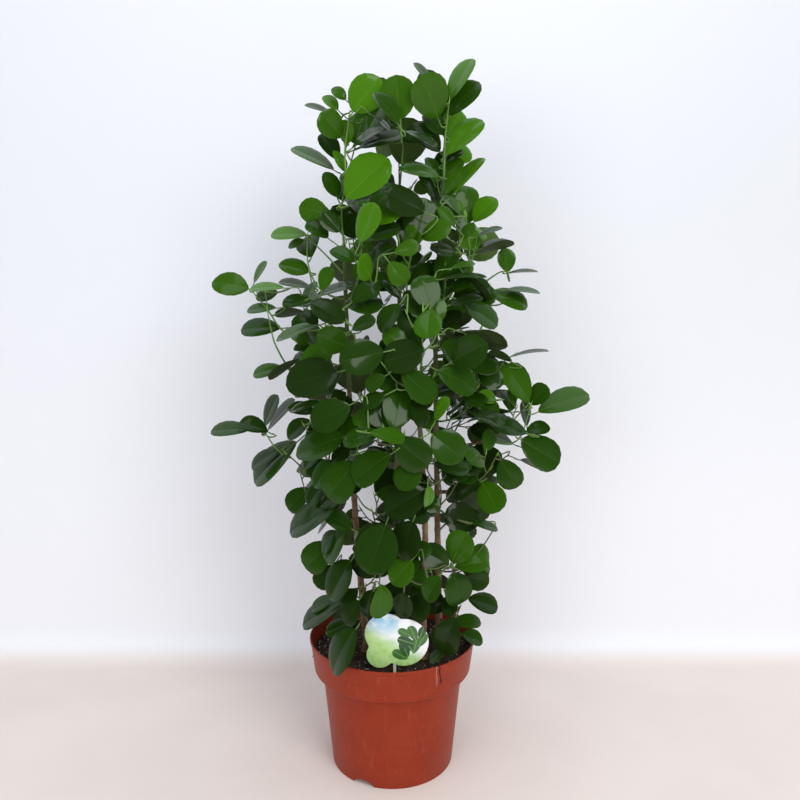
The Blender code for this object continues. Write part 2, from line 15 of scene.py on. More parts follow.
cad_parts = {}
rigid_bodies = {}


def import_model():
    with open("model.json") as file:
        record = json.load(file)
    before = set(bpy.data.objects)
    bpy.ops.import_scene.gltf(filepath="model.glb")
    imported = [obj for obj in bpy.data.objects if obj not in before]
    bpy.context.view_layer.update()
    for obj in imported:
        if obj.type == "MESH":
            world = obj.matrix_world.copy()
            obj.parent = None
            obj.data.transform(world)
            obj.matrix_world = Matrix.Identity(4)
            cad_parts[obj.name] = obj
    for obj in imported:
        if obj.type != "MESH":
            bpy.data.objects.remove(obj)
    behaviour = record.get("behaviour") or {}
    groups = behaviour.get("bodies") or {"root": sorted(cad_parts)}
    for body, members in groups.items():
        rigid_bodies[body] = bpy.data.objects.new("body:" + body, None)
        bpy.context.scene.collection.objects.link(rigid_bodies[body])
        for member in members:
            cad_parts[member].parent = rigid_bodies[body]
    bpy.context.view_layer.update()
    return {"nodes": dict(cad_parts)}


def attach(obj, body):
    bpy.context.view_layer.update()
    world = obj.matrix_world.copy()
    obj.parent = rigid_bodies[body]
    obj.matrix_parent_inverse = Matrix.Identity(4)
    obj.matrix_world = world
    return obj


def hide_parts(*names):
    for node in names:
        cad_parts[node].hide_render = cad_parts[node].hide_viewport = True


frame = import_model()
scene = bpy.context.scene

# ---------------------------------------------------------------- studio
# A pale floor and a paper wall close behind the plant. A large soft light stands in front to the right, a
# weaker one in front to the left, and one hangs above. The camera is a metre off and looks slightly down.

CAMERA_PLACE = (0.0098, -0.967, 0.615)
CAMERA_TILT = 81.3
CAMERA_LENS = 36.0
SENSOR_WIDTH = 36.0
WALL_Y = 0.272
WALL_HEIGHT = 3.2
COVE_RADIUS = 0.05
COVE_STEPS = 8
WALL_FOOT = 0.024
WALL_SHADE = (0.85, 0.05)
WALL_SHADE_WIDTH = 0.65
FLOOR_FRONT = -3.5
STUDIO_HALF_WIDTH = 3.5
ROOM_LIGHT = 0.62
ROOM_REFLECTION = 0.10
SOFT_LIGHTS = {
    # name: (place, size, power, tint)
    "key": ((0.80, -1.55, 1.42), 1.0, 18.8, (1.0, 0.985, 0.96)),
    "fill": ((-0.90, -2.00, 0.70), 1.0, 11.0, (0.95, 0.975, 1.0)),
    "top": ((0.10, -0.45, 2.20), 1.0, 6.0, (0.97, 0.985, 1.0)),
}
LIGHT_AIM = Vector((0, 0, 0.45))


class Flow:
    """A socket in a node tree. Sums on it are written as plain Python."""

    def __init__(self, tree, socket=None):
        self.tree = tree
        self.socket = socket

    def node(self, kind, settings=None, inputs=None, out=0):
        """Adds a node: its settings first, then the values or links of its sockets."""
        made = self.tree.nodes.new(kind)
        for key, value in (settings or {}).items():
            setattr(made, key, value)
        for key, value in (inputs or {}).items():
            if isinstance(value, Flow):
                self.tree.links.new(value.socket, made.inputs[key])
            else:
                made.inputs[key].default_value = value
        return Flow(self.tree, made.outputs[out])

    def math(self, operation, *others):
        return self.node("ShaderNodeMath", {"operation": operation}, dict(enumerate((self, *others))))

    def __add__(self, other):
        return self.math("ADD", other)

    __radd__ = __add__

    def __sub__(self, other):
        return self.math("SUBTRACT", other)

    def __rsub__(self, other):
        return (self * -1) + other

    def __mul__(self, other):
        return self.math("MULTIPLY", other)

    __rmul__ = __mul__

    def __truediv__(self, other):
        return self.math("DIVIDE", other)

    def __pow__(self, other):
        return self.math("POWER", other)

    def step(self, low, high):
        """0 up to low, 1 from high, and smooth between. With low above high it falls instead."""
        inputs = {"Value": self, "From Min": low, "From Max": high}
        return self.node("ShaderNodeMapRange", {"interpolation_type": "SMOOTHSTEP"}, inputs)

    def between(self, first, second):
        """The first colour where this is 0, and the second where it is 1."""
        inputs = {0: self, 6: first, 7: second}
        return self.node("ShaderNodeMix", {"data_type": "RGBA"}, inputs, out=2)

    def part(self, name):
        return self.node("ShaderNodeSeparateXYZ", inputs={0: self}, out="XYZ".index(name))


def finish(name, colour, roughness, **constants):
    """A Principled material whose constants sit on the shader's own sockets, and the flow of its tree."""
    material = bpy.data.materials.new(name)
    material.use_nodes = True
    shader = material.node_tree.nodes["Principled BSDF"]
    shader.inputs["Base Color"].default_value = (*colour, 1.0)
    shader.inputs["Roughness"].default_value = roughness
    for socket, value in constants.items():
        shader.inputs[socket.replace("_", " ")].default_value = value
    return material, Flow(material.node_tree)


def feed(material, **flows):
    """Links what varies over the surface to the shader's sockets."""
    shader = material.node_tree.nodes["Principled BSDF"]
    for socket, flow in flows.items():
        material.node_tree.links.new(flow.socket, shader.inputs[socket.replace("_", " ")])


def colour(*rgb):
    return (*rgb, 1.0)


def here(flow):
    """Object coordinates."""
    return flow.node("ShaderNodeTexCoord", out=3)


def cloudy(flow, scale, detail=2.0, roughness=0.5, stretch=None):
    """Smooth noise in object space, from 0 to 1."""
    place = here(flow)
    if stretch:
        place = flow.node("ShaderNodeMapping", inputs={"Vector": place, "Scale": stretch})
    inputs = {"Vector": place, "Scale": scale, "Detail": detail, "Roughness": roughness}
    return flow.node("ShaderNodeTexNoise", inputs=inputs)


def relief(flow, height, distance, strength=1.0):
    inputs = {"Height": height, "Distance": distance, "Strength": strength}
    return flow.node("ShaderNodeBump", inputs=inputs)


def new_object(name, verts, faces, *materials):
    mesh = bpy.data.meshes.new(name)
    mesh.from_pydata([tuple(v) for v in verts], [], faces)
    for material in materials:
        mesh.materials.append(material)
    obj = bpy.data.objects.new(name, mesh)
    scene.collection.objects.link(obj)
    return obj


camera = bpy.data.objects.new("camera", bpy.data.cameras.new("camera"))
camera.data.lens = CAMERA_LENS
camera.data.sensor_width = SENSOR_WIDTH
camera.location = CAMERA_PLACE
camera.rotation_euler = (math.radians(CAMERA_TILT), 0, 0)
scene.collection.objects.link(camera)
scene.camera = camera
scene.view_settings.view_transform = "Standard"

floor_paper, flow = finish("floor_paper", (0.78, 0.70, 0.655), 0.9)
shade = cloudy(flow, 5.0, 3.0).step(0.3, 0.7)
feed(floor_paper, Base_Color=shade.between(colour(0.785, 0.705, 0.665), colour(0.825, 0.745, 0.705)))
wall_paper, flow = finish("wall_paper", (0.78, 0.80, 0.845), 0.95)
place = here(flow)
height = place.part("Z")
# The paper's colour holds painted shade and light: darker high up, more so towards the right, and paler near
# its foot.
rightward_painted_shade = place.part("X").step(0.0, WALL_SHADE_WIDTH)
painted_shade_high_up = rightward_painted_shade.between(colour(0.775, 0.80, 0.865), colour(0.695, 0.72, 0.77))
wall = height.step(*WALL_SHADE).between(painted_shade_high_up, colour(0.855, 0.875, 0.925))
feed(wall_paper, Base_Color=height.step(WALL_FOOT, 0.0).between(wall, colour(0.80, 0.725, 0.69)))
# Seen from behind, the paper lets the view through.
seen_behind = flow.node("ShaderNodeNewGeometry", out=6)
clear = flow.node("ShaderNodeBsdfTransparent")
shader = Flow(wall_paper.node_tree, wall_paper.node_tree.nodes["Principled BSDF"].outputs[0])
one_sided = flow.node("ShaderNodeMixShader", inputs={0: seen_behind, 1: shader, 2: clear})
output = wall_paper.node_tree.nodes["Material Output"]
wall_paper.node_tree.links.new(one_sided.socket, output.inputs["Surface"])

sweep = [(FLOOR_FRONT, 0.0)]
for step in range(COVE_STEPS + 1):
    turn = math.radians(90 * step / COVE_STEPS)
    sweep.append((WALL_Y - COVE_RADIUS * (1 - math.sin(turn)), COVE_RADIUS * (1 - math.cos(turn))))
sweep.append((WALL_Y, WALL_HEIGHT))
verts = [(side * STUDIO_HALF_WIDTH, y, z) for y, z in sweep for side in (-1, 1)]
faces = [(2 * i, 2 * i + 1, 2 * i + 3, 2 * i + 2) for i in range(len(sweep) - 1)]
backdrop = new_object("backdrop", verts, faces, floor_paper, wall_paper)
for polygon in backdrop.data.polygons:
    polygon.use_smooth = True
    polygon.material_index = 1 if polygon.index > 0 else 0

world = bpy.data.worlds.new("soft_room")
world.use_nodes = True
background = world.node_tree.nodes["Background"]
background.inputs["Color"].default_value = colour(0.955, 0.975, 1.0)
# The room lights the plant, but shows only dimly in its gloss.
paths = world.node_tree.nodes.new("ShaderNodeLightPath")
dimming = world.node_tree.nodes.new("ShaderNodeMapRange")
dimming.inputs["To Min"].default_value = ROOM_LIGHT
dimming.inputs["To Max"].default_value = ROOM_REFLECTION
world.node_tree.links.new(paths.outputs["Is Glossy Ray"], dimming.inputs["Value"])
world.node_tree.links.new(dimming.outputs["Result"], background.inputs["Strength"])
scene.world = world

for name, (place, size, power, tint) in SOFT_LIGHTS.items():
    lamp = bpy.data.lights.new(name, "AREA")
    lamp.shape = "SQUARE"
    lamp.size = size
    lamp.energy = power
    lamp.color = tint
    light = bpy.data.objects.new(name, lamp)
    light.location = place
    light.visible_glossy = name != "fill"  # it lights the shade and leaves no glare
    light.rotation_euler = (LIGHT_AIM - Vector(place)).to_track_quat("-Z", "Y").to_euler()
    scene.collection.objects.link(light)

# ---------------------------------------------------------------- pot
# An injection-moulded nursery pot in terracotta-coloured plastic, with a deep collar and a thin foot skirt.
# The section is turned about the pot's axis, and three arched drain notches are cut through the skirt.

RIM_RADIUS = 0.105
POT_HEIGHT = 0.1655
WALL = 0.0018
LIP_HEIGHT = 0.0035
LIP_DRAFT = 0.0002
LIP_STEP = (0.0009, 0.0006)
COLLAR_HEIGHT = 0.0425
COLLAR_FOOT_RADIUS = 0.0995
COLLAR_ROUND = 0.004
COLLAR_FILLET = 0.0006
BODY_TOP_RADIUS = 0.0890
BODY_FOOT_RADIUS = 0.0772
BODY_RINGS = (0.08, 0.04)
SKIRT_HEIGHT = 0.009
SKIRT_WALL = 0.0024
SKIRT_DRAFT = 0.0004
REST_RADIUS = 0.040
REST_SLOPE = 0.004
FOOT_ROUND = 0.0007
TURN_STEPS = 144
MERGE_DISTANCE = 0.00005
NOTCH_COUNT = 3
NOTCH_FIRST_BEARING = -27.0
NOTCH_HALF_WIDTH = 0.015
NOTCH_RISE = 0.0075
NOTCH_DEPTH = 0.012
NOTCH_SIDES = 96
CRACK_BEARING = 35.5
CRACK_SIDE = (0.05, 0.06)
CRACK_FOOT = 0.137
CRACK_FADE = 0.006
CRACK_WAVER = 0.004
CRACK_SLANT = -0.22
CRACK_EDGE = (0.0013, 0.0005)
SCRATCH_AWAY = 0.0062
SCRATCH_EDGE = (0.0010, 0.0003)


def turned_solid(name, profile, *materials):
    """Turns a profile of (radius, height) about the pot's axis."""
    mesh = bpy.data.meshes.new(name)
    mesh.from_pydata([(r, 0, z) for r, z in profile], [(i, i + 1) for i in range(len(profile) - 1)], [])
    for material in materials:
        mesh.materials.append(material)
    obj = bpy.data.objects.new(name, mesh)
    scene.collection.objects.link(obj)
    screw = obj.modifiers.new("Turn", "SCREW")
    screw.axis = "Z"
    screw.steps = screw.render_steps = TURN_STEPS
    screw.use_merge_vertices = True
    screw.merge_threshold = MERGE_DISTANCE
    screw.use_smooth_shade = True
    return obj


def settle(obj):
    """Makes an object's modifiers part of its mesh."""
    bpy.context.view_layer.update()
    mesh = bpy.data.meshes.new_from_object(obj.evaluated_get(bpy.context.evaluated_depsgraph_get()))
    obj.modifiers.clear()
    obj.data = mesh
    mesh.name = obj.name


def quarter(centre, radius, first, last, steps=5):
    """Points on an arc, between two angles in degrees."""
    turns = [math.radians(first + (last - first) * i / steps) for i in range(steps + 1)]
    return [(centre[0] + radius * math.cos(t), centre[1] + radius * math.sin(t)) for t in turns]


def body_radius(height):
    """The outside of the pot's body, below its collar."""
    return BODY_FOOT_RADIUS + (BODY_TOP_RADIUS - BODY_FOOT_RADIUS) * height / (POT_HEIGHT - COLLAR_HEIGHT)


def inside_of_pot():
    """The inner wall's profile, from the centre of the floor out and up to the collar's ledge."""
    floor = SKIRT_HEIGHT + WALL
    ledge = POT_HEIGHT - COLLAR_HEIGHT + WALL
    return [
        (REST_RADIUS - WALL, WALL),
        (REST_RADIUS + REST_SLOPE - WALL, floor),
        (body_radius(floor) - WALL, floor),
        (BODY_TOP_RADIUS - WALL, ledge),
        (COLLAR_FOOT_RADIUS - WALL, ledge),
    ]


pot_plastic, flow = finish("pot_plastic", (0.30, 0.045, 0.020), 0.42, Specular_IOR_Level=0.20)
place = here(flow)
mottle = cloudy(flow, 38.0, 3.0)
scuffs = cloudy(flow, 230.0, 2.0, 0.6, stretch=(1.0, 1.0, 0.25)).step(0.56, 0.74)
dust = cloudy(flow, 900.0, 1.0).step(0.74, 0.80)
side = math.radians(CRACK_BEARING)
across = place.part("X") * math.cos(side) + place.part("Y") * math.sin(side)
facing = place.part("X") * math.sin(side) - place.part("Y") * math.cos(side)
waver = (cloudy(flow, 130.0, 2.0) - 0.5) * CRACK_WAVER
slant = (place.part("Z") - CRACK_FOOT) * CRACK_SLANT
near_rim = place.part("Z").step(CRACK_FOOT, CRACK_FOOT + CRACK_FADE) * facing.step(*CRACK_SIDE)
off_crack = (across - waver - slant).math("ABSOLUTE")
crack_with_painted_shade = off_crack.step(*CRACK_EDGE) * near_rim
off_scratch = (across - waver * 0.7 - slant * 0.6 + SCRATCH_AWAY).math("ABSOLUTE")
scratch = off_scratch.step(*SCRATCH_EDGE) * near_rim
plain = mottle.step(0.3, 0.7).between(colour(0.257, 0.0262, 0.0080), colour(0.282, 0.0318, 0.0101))
worn = (scuffs * 0.30).between(plain, colour(0.37, 0.085, 0.050))
dusty = (dust * 0.6).between(worn, colour(0.52, 0.36, 0.28))
scratched = (scratch * 0.6).between(dusty, colour(0.50, 0.26, 0.19))
# The near-black along the crack is painted shade in the split; the crack's sunk relief and rougher surface
# are real.
crack_shade_painted = crack_with_painted_shade.between(scratched, colour(0.030, 0.012, 0.008))
gloss = 0.38 + mottle * 0.10 + scuffs * 0.12 + crack_with_painted_shade * 0.3
height = mottle * 0.4 + scuffs * 0.2 - crack_with_painted_shade * 1.5
feed(pot_plastic, Base_Color=crack_shade_painted, Roughness=gloss, Normal=relief(flow, height, 0.0004, 0.5))

under_collar = POT_HEIGHT - COLLAR_HEIGHT
skirt_top = BODY_FOOT_RADIUS - SKIRT_WALL + SKIRT_DRAFT
profile = [
    (0, WALL),
    *inside_of_pot(),
    *quarter((RIM_RADIUS - WALL / 2, POT_HEIGHT - WALL / 2), WALL / 2, 180, 0, 8),
    (RIM_RADIUS - LIP_DRAFT, POT_HEIGHT - LIP_HEIGHT),
    (RIM_RADIUS - LIP_DRAFT - LIP_STEP[0], POT_HEIGHT - LIP_HEIGHT - LIP_STEP[1]),
    *quarter((COLLAR_FOOT_RADIUS - COLLAR_ROUND, under_collar + COLLAR_ROUND), COLLAR_ROUND, 0, -90, 8),
    (BODY_TOP_RADIUS + COLLAR_FILLET, under_collar),
    (BODY_TOP_RADIUS, under_collar - COLLAR_FILLET),
    *((body_radius(height), height) for height in BODY_RINGS),
    *quarter((BODY_FOOT_RADIUS - FOOT_ROUND, FOOT_ROUND), FOOT_ROUND, 0, -90, 3),
    (BODY_FOOT_RADIUS - SKIRT_WALL, 0),
    (skirt_top, SKIRT_HEIGHT),
    (REST_RADIUS + REST_SLOPE, SKIRT_HEIGHT),
    (REST_RADIUS, 0),
    (0, 0),
]
pot = turned_solid("pot_shell", profile, pot_plastic)
drop = (NOTCH_HALF_WIDTH**2 - NOTCH_RISE**2) / (2 * NOTCH_RISE)
cutters = bpy.data.collections.new("notch_cutters")
scene.collection.children.link(cutters)
for number in range(NOTCH_COUNT):
    form = bmesh.new()
    radius = drop + NOTCH_RISE
    bmesh.ops.create_cone(
        form, cap_ends=True, segments=NOTCH_SIDES, radius1=radius, radius2=radius, depth=NOTCH_DEPTH
    )
    bmesh.ops.rotate(form, matrix=Matrix.Rotation(math.radians(90), 3, "X"), verts=form.verts)
    bmesh.ops.translate(form, vec=(0, -BODY_FOOT_RADIUS, -drop), verts=form.verts)
    turn = math.radians(NOTCH_FIRST_BEARING + 360 * number / NOTCH_COUNT)
    bmesh.ops.rotate(form, matrix=Matrix.Rotation(turn, 3, "Z"), verts=form.verts)
    mesh = bpy.data.meshes.new("notch_cutter")
    form.to_mesh(mesh)
    form.free()
    cutters.objects.link(bpy.data.objects.new("notch_cutter", mesh))
cut = pot.modifiers.new("Notches", "BOOLEAN")
cut.operation = "DIFFERENCE"
cut.operand_type = "COLLECTION"
cut.collection = cutters
cut.solver = "EXACT"
settle(pot)
for obj in list(cutters.objects):
    bpy.data.objects.remove(obj)
bpy.data.collections.remove(cutters)


def sharpen(obj, degrees):
    """Smooth faces, with sharp edges past an angle."""
    obj.data.polygons.foreach_set("use_smooth", [True] * len(obj.data.polygons))
    obj.data.set_sharp_from_angle(angle=math.radians(degrees))


sharpen(pot, 32)
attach(pot, "root")
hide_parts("pot")

# ---------------------------------------------------------------- potting mix
# Dark peat mix, filled to just under the rim, with bark chips, fibres and white perlite lying in it.
# The bed is turned to fit the pot's inside with a lumpy top, and the crumbs are scattered over that top.

MIX_TOP = 0.1475
MIX_CLEARANCE = 0.0004
MIX_LUMP = 0.0028
MIX_LUMPS = ((55, 1.0), (160, 0.6), (420, 0.35))  # (how fine, how strong)
MIX_DISH = 0.0018
BED_RINGS = 44
TOUCHING = 0.0001
SCATTER_DEPTH = 0.012
LEVEL_LEAN = 0.35
ANY_LEAN = 3.1
FIBRE_STEPS = 4
FIBRE_RADIUS = 0.035
FIBRE_BOW = 0.16
FIBRE_RISE = 0.06
SCATTER = {
    # name: (forms, count for each square metre, smallest and largest size, seed)
    "mix_crumbs": ("crumb", 70000.0, 0.0010, 0.0032, 3),
    "mix_chips": ("chip", 9000.0, 0.0030, 0.0075, 5),
    "mix_fibres": ("fibre", 9000.0, 0.006, 0.014, 8),
    "mix_perlite": ("perlite", 12000.0, 0.0010, 0.0025, 13),
}


def new_recipe(name, sizes):
    """An empty Geometry Nodes tree with a mesh or curve input and named sizes, as flows by name."""
    tree = bpy.data.node_groups.new(name, "GeometryNodeTree")
    tree.interface.new_socket("Shape", in_out="INPUT", socket_type="NodeSocketGeometry")
    tree.interface.new_socket("Shape", in_out="OUTPUT", socket_type="NodeSocketGeometry")
    for label, value in sizes.items():
        kind = "NodeSocketInt" if isinstance(value, int) else "NodeSocketFloat"
        tree.interface.new_socket(label, in_out="INPUT", socket_type=kind).default_value = value
    start = tree.nodes.new("NodeGroupInput")
    return tree, {socket.name: Flow(tree, socket) for socket in start.outputs if socket.name}


def follow_recipe(obj, tree, result, sizes):
    """Runs a recipe on an object and leaves its result as a plain mesh under the object's name."""
    end = tree.nodes.new("NodeGroupOutput")
    tree.links.new(result.socket, end.inputs[0])
    modifier = obj.modifiers.new(tree.name, "NODES")
    modifier.node_group = tree
    for item in tree.interface.items_tree:
        if item.in_out == "INPUT" and item.name in sizes:
            modifier[item.identifier] = sizes[item.name]
    bpy.context.view_layer.update()
    graph = bpy.context.evaluated_depsgraph_get()
    mesh = bpy.data.meshes.new_from_object(obj.evaluated_get(graph), depsgraph=graph)
    name = obj.name
    bpy.data.objects.remove(obj)
    mesh.name = name
    made = bpy.data.objects.new(name, mesh)
    scene.collection.objects.link(made)
    return made


def new_library(name, shapes):
    """A hidden collection of unit-sized shapes to copy from."""
    library = bpy.data.collections.new(name)
    for number, mesh in enumerate(shapes):
        library.objects.link(bpy.data.objects.new(f"{name}_{number:02d}", mesh))
    return library


def copied(flow, library, inputs):
    """Copies a library's shapes to points, and makes the copies real."""
    shapes = flow.node(
        "GeometryNodeCollectionInfo",
        inputs={"Collection": library, "Separate Children": True, "Reset Children": True},
    )
    inputs = {"Instance": shapes, "Pick Instance": True, **inputs}
    copies = flow.node("GeometryNodeInstanceOnPoints", inputs=inputs)
    return flow.node("GeometryNodeRealizeInstances", inputs={"Geometry": copies})


peat, flow = finish("peat", (0.020, 0.012, 0.008), 0.95)
grain = cloudy(flow, 420.0, 4.0, 0.7)
feed(
    peat,
    Base_Color=grain.step(0.35, 0.7).between(colour(0.012, 0.007, 0.005), colour(0.060, 0.034, 0.020)),
    Normal=relief(flow, grain, 0.0015),
)
crumb_peat, flow = finish("crumb_peat", (0.040, 0.021, 0.012), 0.95)
feed(crumb_peat, Normal=relief(flow, cloudy(flow, 900.0, 2.0), 0.0006))
chip_bark, flow = finish("chip_bark", (0.075, 0.036, 0.018), 0.85)
feed(chip_bark, Normal=relief(flow, cloudy(flow, 700.0, 2.0), 0.0005))
fibre_brown, flow = finish("fibre_brown", (0.11, 0.060, 0.030), 0.8)
feed(fibre_brown, Normal=relief(flow, cloudy(flow, 900.0, 1.0), 0.0003))
perlite_white, flow = finish("perlite_white", (0.66, 0.63, 0.57), 0.8)
feed(perlite_white, Normal=relief(flow, cloudy(flow, 1500.0, 1.0), 0.0003))

wall = [(r - MIX_CLEARANCE, z + MIX_CLEARANCE) for r, z in inside_of_pot()]
ledge_radius, ledge = wall[-1]
share = (MIX_TOP - ledge) / (POT_HEIGHT - ledge)
shore = ledge_radius + (RIM_RADIUS - COLLAR_FOOT_RADIUS) * share
profile = [(shore * i / BED_RINGS, MIX_TOP) for i in range(BED_RINGS + 1)]
bed = turned_solid("mix_bed", [*profile, *reversed(wall), (0, WALL + MIX_CLEARANCE)], peat)
settle(bed)
for vert in bed.data.vertices:
    if vert.co.z > MIX_TOP - TOUCHING:
        lump = sum(strength * noise.noise(vert.co * fineness) for fineness, strength in MIX_LUMPS)
        dished = MIX_DISH * (math.hypot(vert.co.x, vert.co.y) / shore) ** 6
        vert.co.z += MIX_LUMP * (lump - 0.25) - dished
sharpen(bed, 60)


def lump_shape(name, number, squash, bite, material):
    """A rough pebble of twenty faces, one unit long."""
    mesh = bpy.data.meshes.new(name)
    form = bmesh.new()
    bmesh.ops.create_icosphere(form, subdivisions=1, radius=0.5)
    for vert in form.verts:
        vert.co *= 1 + bite * noise.noise(vert.co * 2.3 + Vector((number * 7.1, 0, 0)))
        vert.co = Vector((vert.co.x, vert.co.y * squash[0], vert.co.z * squash[1]))
    form.to_mesh(mesh)
    form.free()
    mesh.materials.append(material)
    return mesh


def fibre_shape(name, number, material):
    """A bent three-sided strand, one unit long."""
    mesh = bpy.data.meshes.new(name)
    verts, faces = [], []
    for i in range(FIBRE_STEPS + 1):
        t = i / FIBRE_STEPS - 0.5
        bow = FIBRE_BOW * math.sin(3 + number + t * 5)
        rise = FIBRE_RISE * t * number
        for side in range(3):
            turn = 2 * math.pi * side / 3
            verts.append((t, bow + FIBRE_RADIUS * math.cos(turn), rise + FIBRE_RADIUS * math.sin(turn)))
    for i in range(FIBRE_STEPS):
        for side in range(3):
            a, b = i * 3 + side, i * 3 + (side + 1) % 3
            faces.append((a, a + 3, b + 3, b))
    end = len(verts) - 1
    faces += [(0, 1, 2), (end, end - 1, end - 2)]
    mesh.from_pydata(verts, [], faces)
    mesh.materials.append(material)
    return mesh


FORMS = {
    "crumb": [lump_shape("crumb", n, (0.85, 0.7), 0.9, crumb_peat) for n in range(4)],
    "chip": [lump_shape("chip", n, (0.55, 0.16), 0.5, chip_bark) for n in range(4)],
    "fibre": [fibre_shape("fibre", n, fibre_brown) for n in range(3)],
    "perlite": [lump_shape("perlite", n, (0.8, 0.75), 0.7, perlite_white) for n in range(3)],
}
for name, (form, density, least, most, seed) in SCATTER.items():
    material = FORMS[form][0].materials[0]
    library = new_library(name + "_forms", FORMS[form])
    sizes = {"Density": density, "Smallest": least, "Largest": most, "Seed": seed}
    tree, flows = new_recipe(name, sizes)
    flow = flows["Shape"]
    up = flow.node("GeometryNodeInputNormal").part("Z")
    height = flow.node("GeometryNodeInputPosition").part("Z")
    on_top = (up - 0.3).math("MINIMUM", height - (MIX_TOP - SCATTER_DEPTH))
    inputs = {
        "Mesh": flow, "Selection": on_top.math("GREATER_THAN", 0.0), "Density": flows["Density"],
        "Seed": flows["Seed"],
    }
    points = flow.node("GeometryNodeDistributePointsOnFaces", inputs=inputs)
    lean = LEVEL_LEAN if form in ("chip", "fibre") else ANY_LEAN
    spin = flow.node(
        "FunctionNodeRandomValue", {"data_type": "FLOAT_VECTOR"},
        {0: (-lean, -lean, 0.0), 1: (lean, lean, 6.28), "Seed": flows["Seed"]},
    )
    size = flow.node(
        "FunctionNodeRandomValue", inputs={2: flows["Smallest"], 3: flows["Largest"], "Seed": flows["Seed"]},
        out=1,
    )
    whole = copied(flow, library, {"Points": points, "Rotation": spin, "Scale": size})
    painted = flow.node("GeometryNodeSetMaterial", inputs={"Geometry": whole, "Material": material})
    holder = bpy.data.objects.new(name, bed.data.copy())
    scene.collection.objects.link(holder)
    scattered = follow_recipe(holder, tree, painted, sizes)
    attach(scattered, "root")
    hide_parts("potting_mix")
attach(bed, "root")
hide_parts("potting_mix")

# ---------------------------------------------------------------- plant label
# A glossy card of three round lobes on a flat pale stick, pushed into the mix at the front.
# Its print is a plain garden picture: sky, a white cloud, a light green ground and a few round leaves.

LABEL_CENTRE = Vector((0.0035, -0.0760, 0.1925))
LABEL_LOBES = ((-0.0100, 0.0070, 0.0254), (0.0110, -0.0035, 0.0292), (-0.0175, -0.0195, 0.0160))
LABEL_THICKNESS = 0.0008
LABEL_RINGS = 8
LABEL_SIDES = 160
LABEL_BOW = 0.0011
LABEL_BOW_SPAN = 0.03
EDGE_SOFTENING = 2
EDGE_CREEP = 0.0006
EDGE_ROUNDING = 0.35
STICK_WIDTH = 0.0035
STICK_THICKNESS = 0.0016
STICK_REACH = 0.012
STICK_SUNK = 0.006
STICK_TIP = 0.0014
STICK_TIP_SHARE = 0.45
STICK_SIDES = 12
STICK_SQUARENESS = 1.22
PRINTED_LEAVES = (
    # (x, z) of the stalk end from the card's centre, length, degrees from upright
    (0.016, -0.024, 0.021, -62.0), (0.016, -0.022, 0.022, -20.0), (0.022, -0.018, 0.021, 14.0),
    (0.022, -0.014, 0.022, -42.0), (0.027, -0.010, 0.020, 30.0), (0.024, -0.006, 0.022, -70.0),
    (0.026, -0.002, 0.021, -24.0), (0.029, 0.000, 0.017, 20.0), (0.020, 0.004, 0.018, -62.0),
)


def lobe_reach(turn):
    """How far the card reaches from its centre in a direction: the furthest of the three round lobes."""
    way = Vector((math.cos(turn), math.sin(turn)))
    reach = 0.0
    for across, up, radius in LABEL_LOBES:
        ahead = way.dot(Vector((across, up)))
        aside = across * across + up * up - ahead * ahead
        if radius * radius > aside:
            reach = max(reach, ahead + math.sqrt(radius * radius - aside))
    return reach


reaches = [lobe_reach(2 * math.pi * i / LABEL_SIDES) for i in range(LABEL_SIDES)]
for _ in range(EDGE_SOFTENING):
    reaches = [
        min(reaches[i] + EDGE_CREEP, (reaches[i - 1] + reaches[i] + reaches[(i + 1) % LABEL_SIDES]) / 3)
        for i in range(LABEL_SIDES)
    ]
verts, faces = [], []
for face in (-1, 1):
    first = len(verts)
    verts.append((0, face * LABEL_THICKNESS / 2, 0))
    for ring in range(1, LABEL_RINGS + 1):
        rounding = EDGE_ROUNDING if ring == LABEL_RINGS else 1.0
        for i, reach in enumerate(reaches):
            turn = 2 * math.pi * i / LABEL_SIDES
            out = reach * ring / LABEL_RINGS
            verts.append((out * math.cos(turn), face * rounding * LABEL_THICKNESS / 2, out * math.sin(turn)))
    for i in range(LABEL_SIDES):
        after = (i + 1) % LABEL_SIDES
        fan = (first, first + 1 + i, first + 1 + after)
        faces.append(fan if face < 0 else tuple(reversed(fan)))
        for ring in range(LABEL_RINGS - 1):
            a, b = first + 1 + ring * LABEL_SIDES + i, first + 1 + ring * LABEL_SIDES + after
            quad = (a, a + LABEL_SIDES, b + LABEL_SIDES, b)
            faces.append(quad if face < 0 else tuple(reversed(quad)))
    rim = len(verts) - LABEL_SIDES
for i in range(LABEL_SIDES):
    after = (i + 1) % LABEL_SIDES
    front = rim - len(verts) // 2
    faces.append((front + i, rim + i, rim + after, front + after))
verts = [
    LABEL_CENTRE + Vector((x, y + LABEL_BOW * ((x / LABEL_BOW_SPAN) ** 2 - 0.4), z)) for x, y, z in verts
]

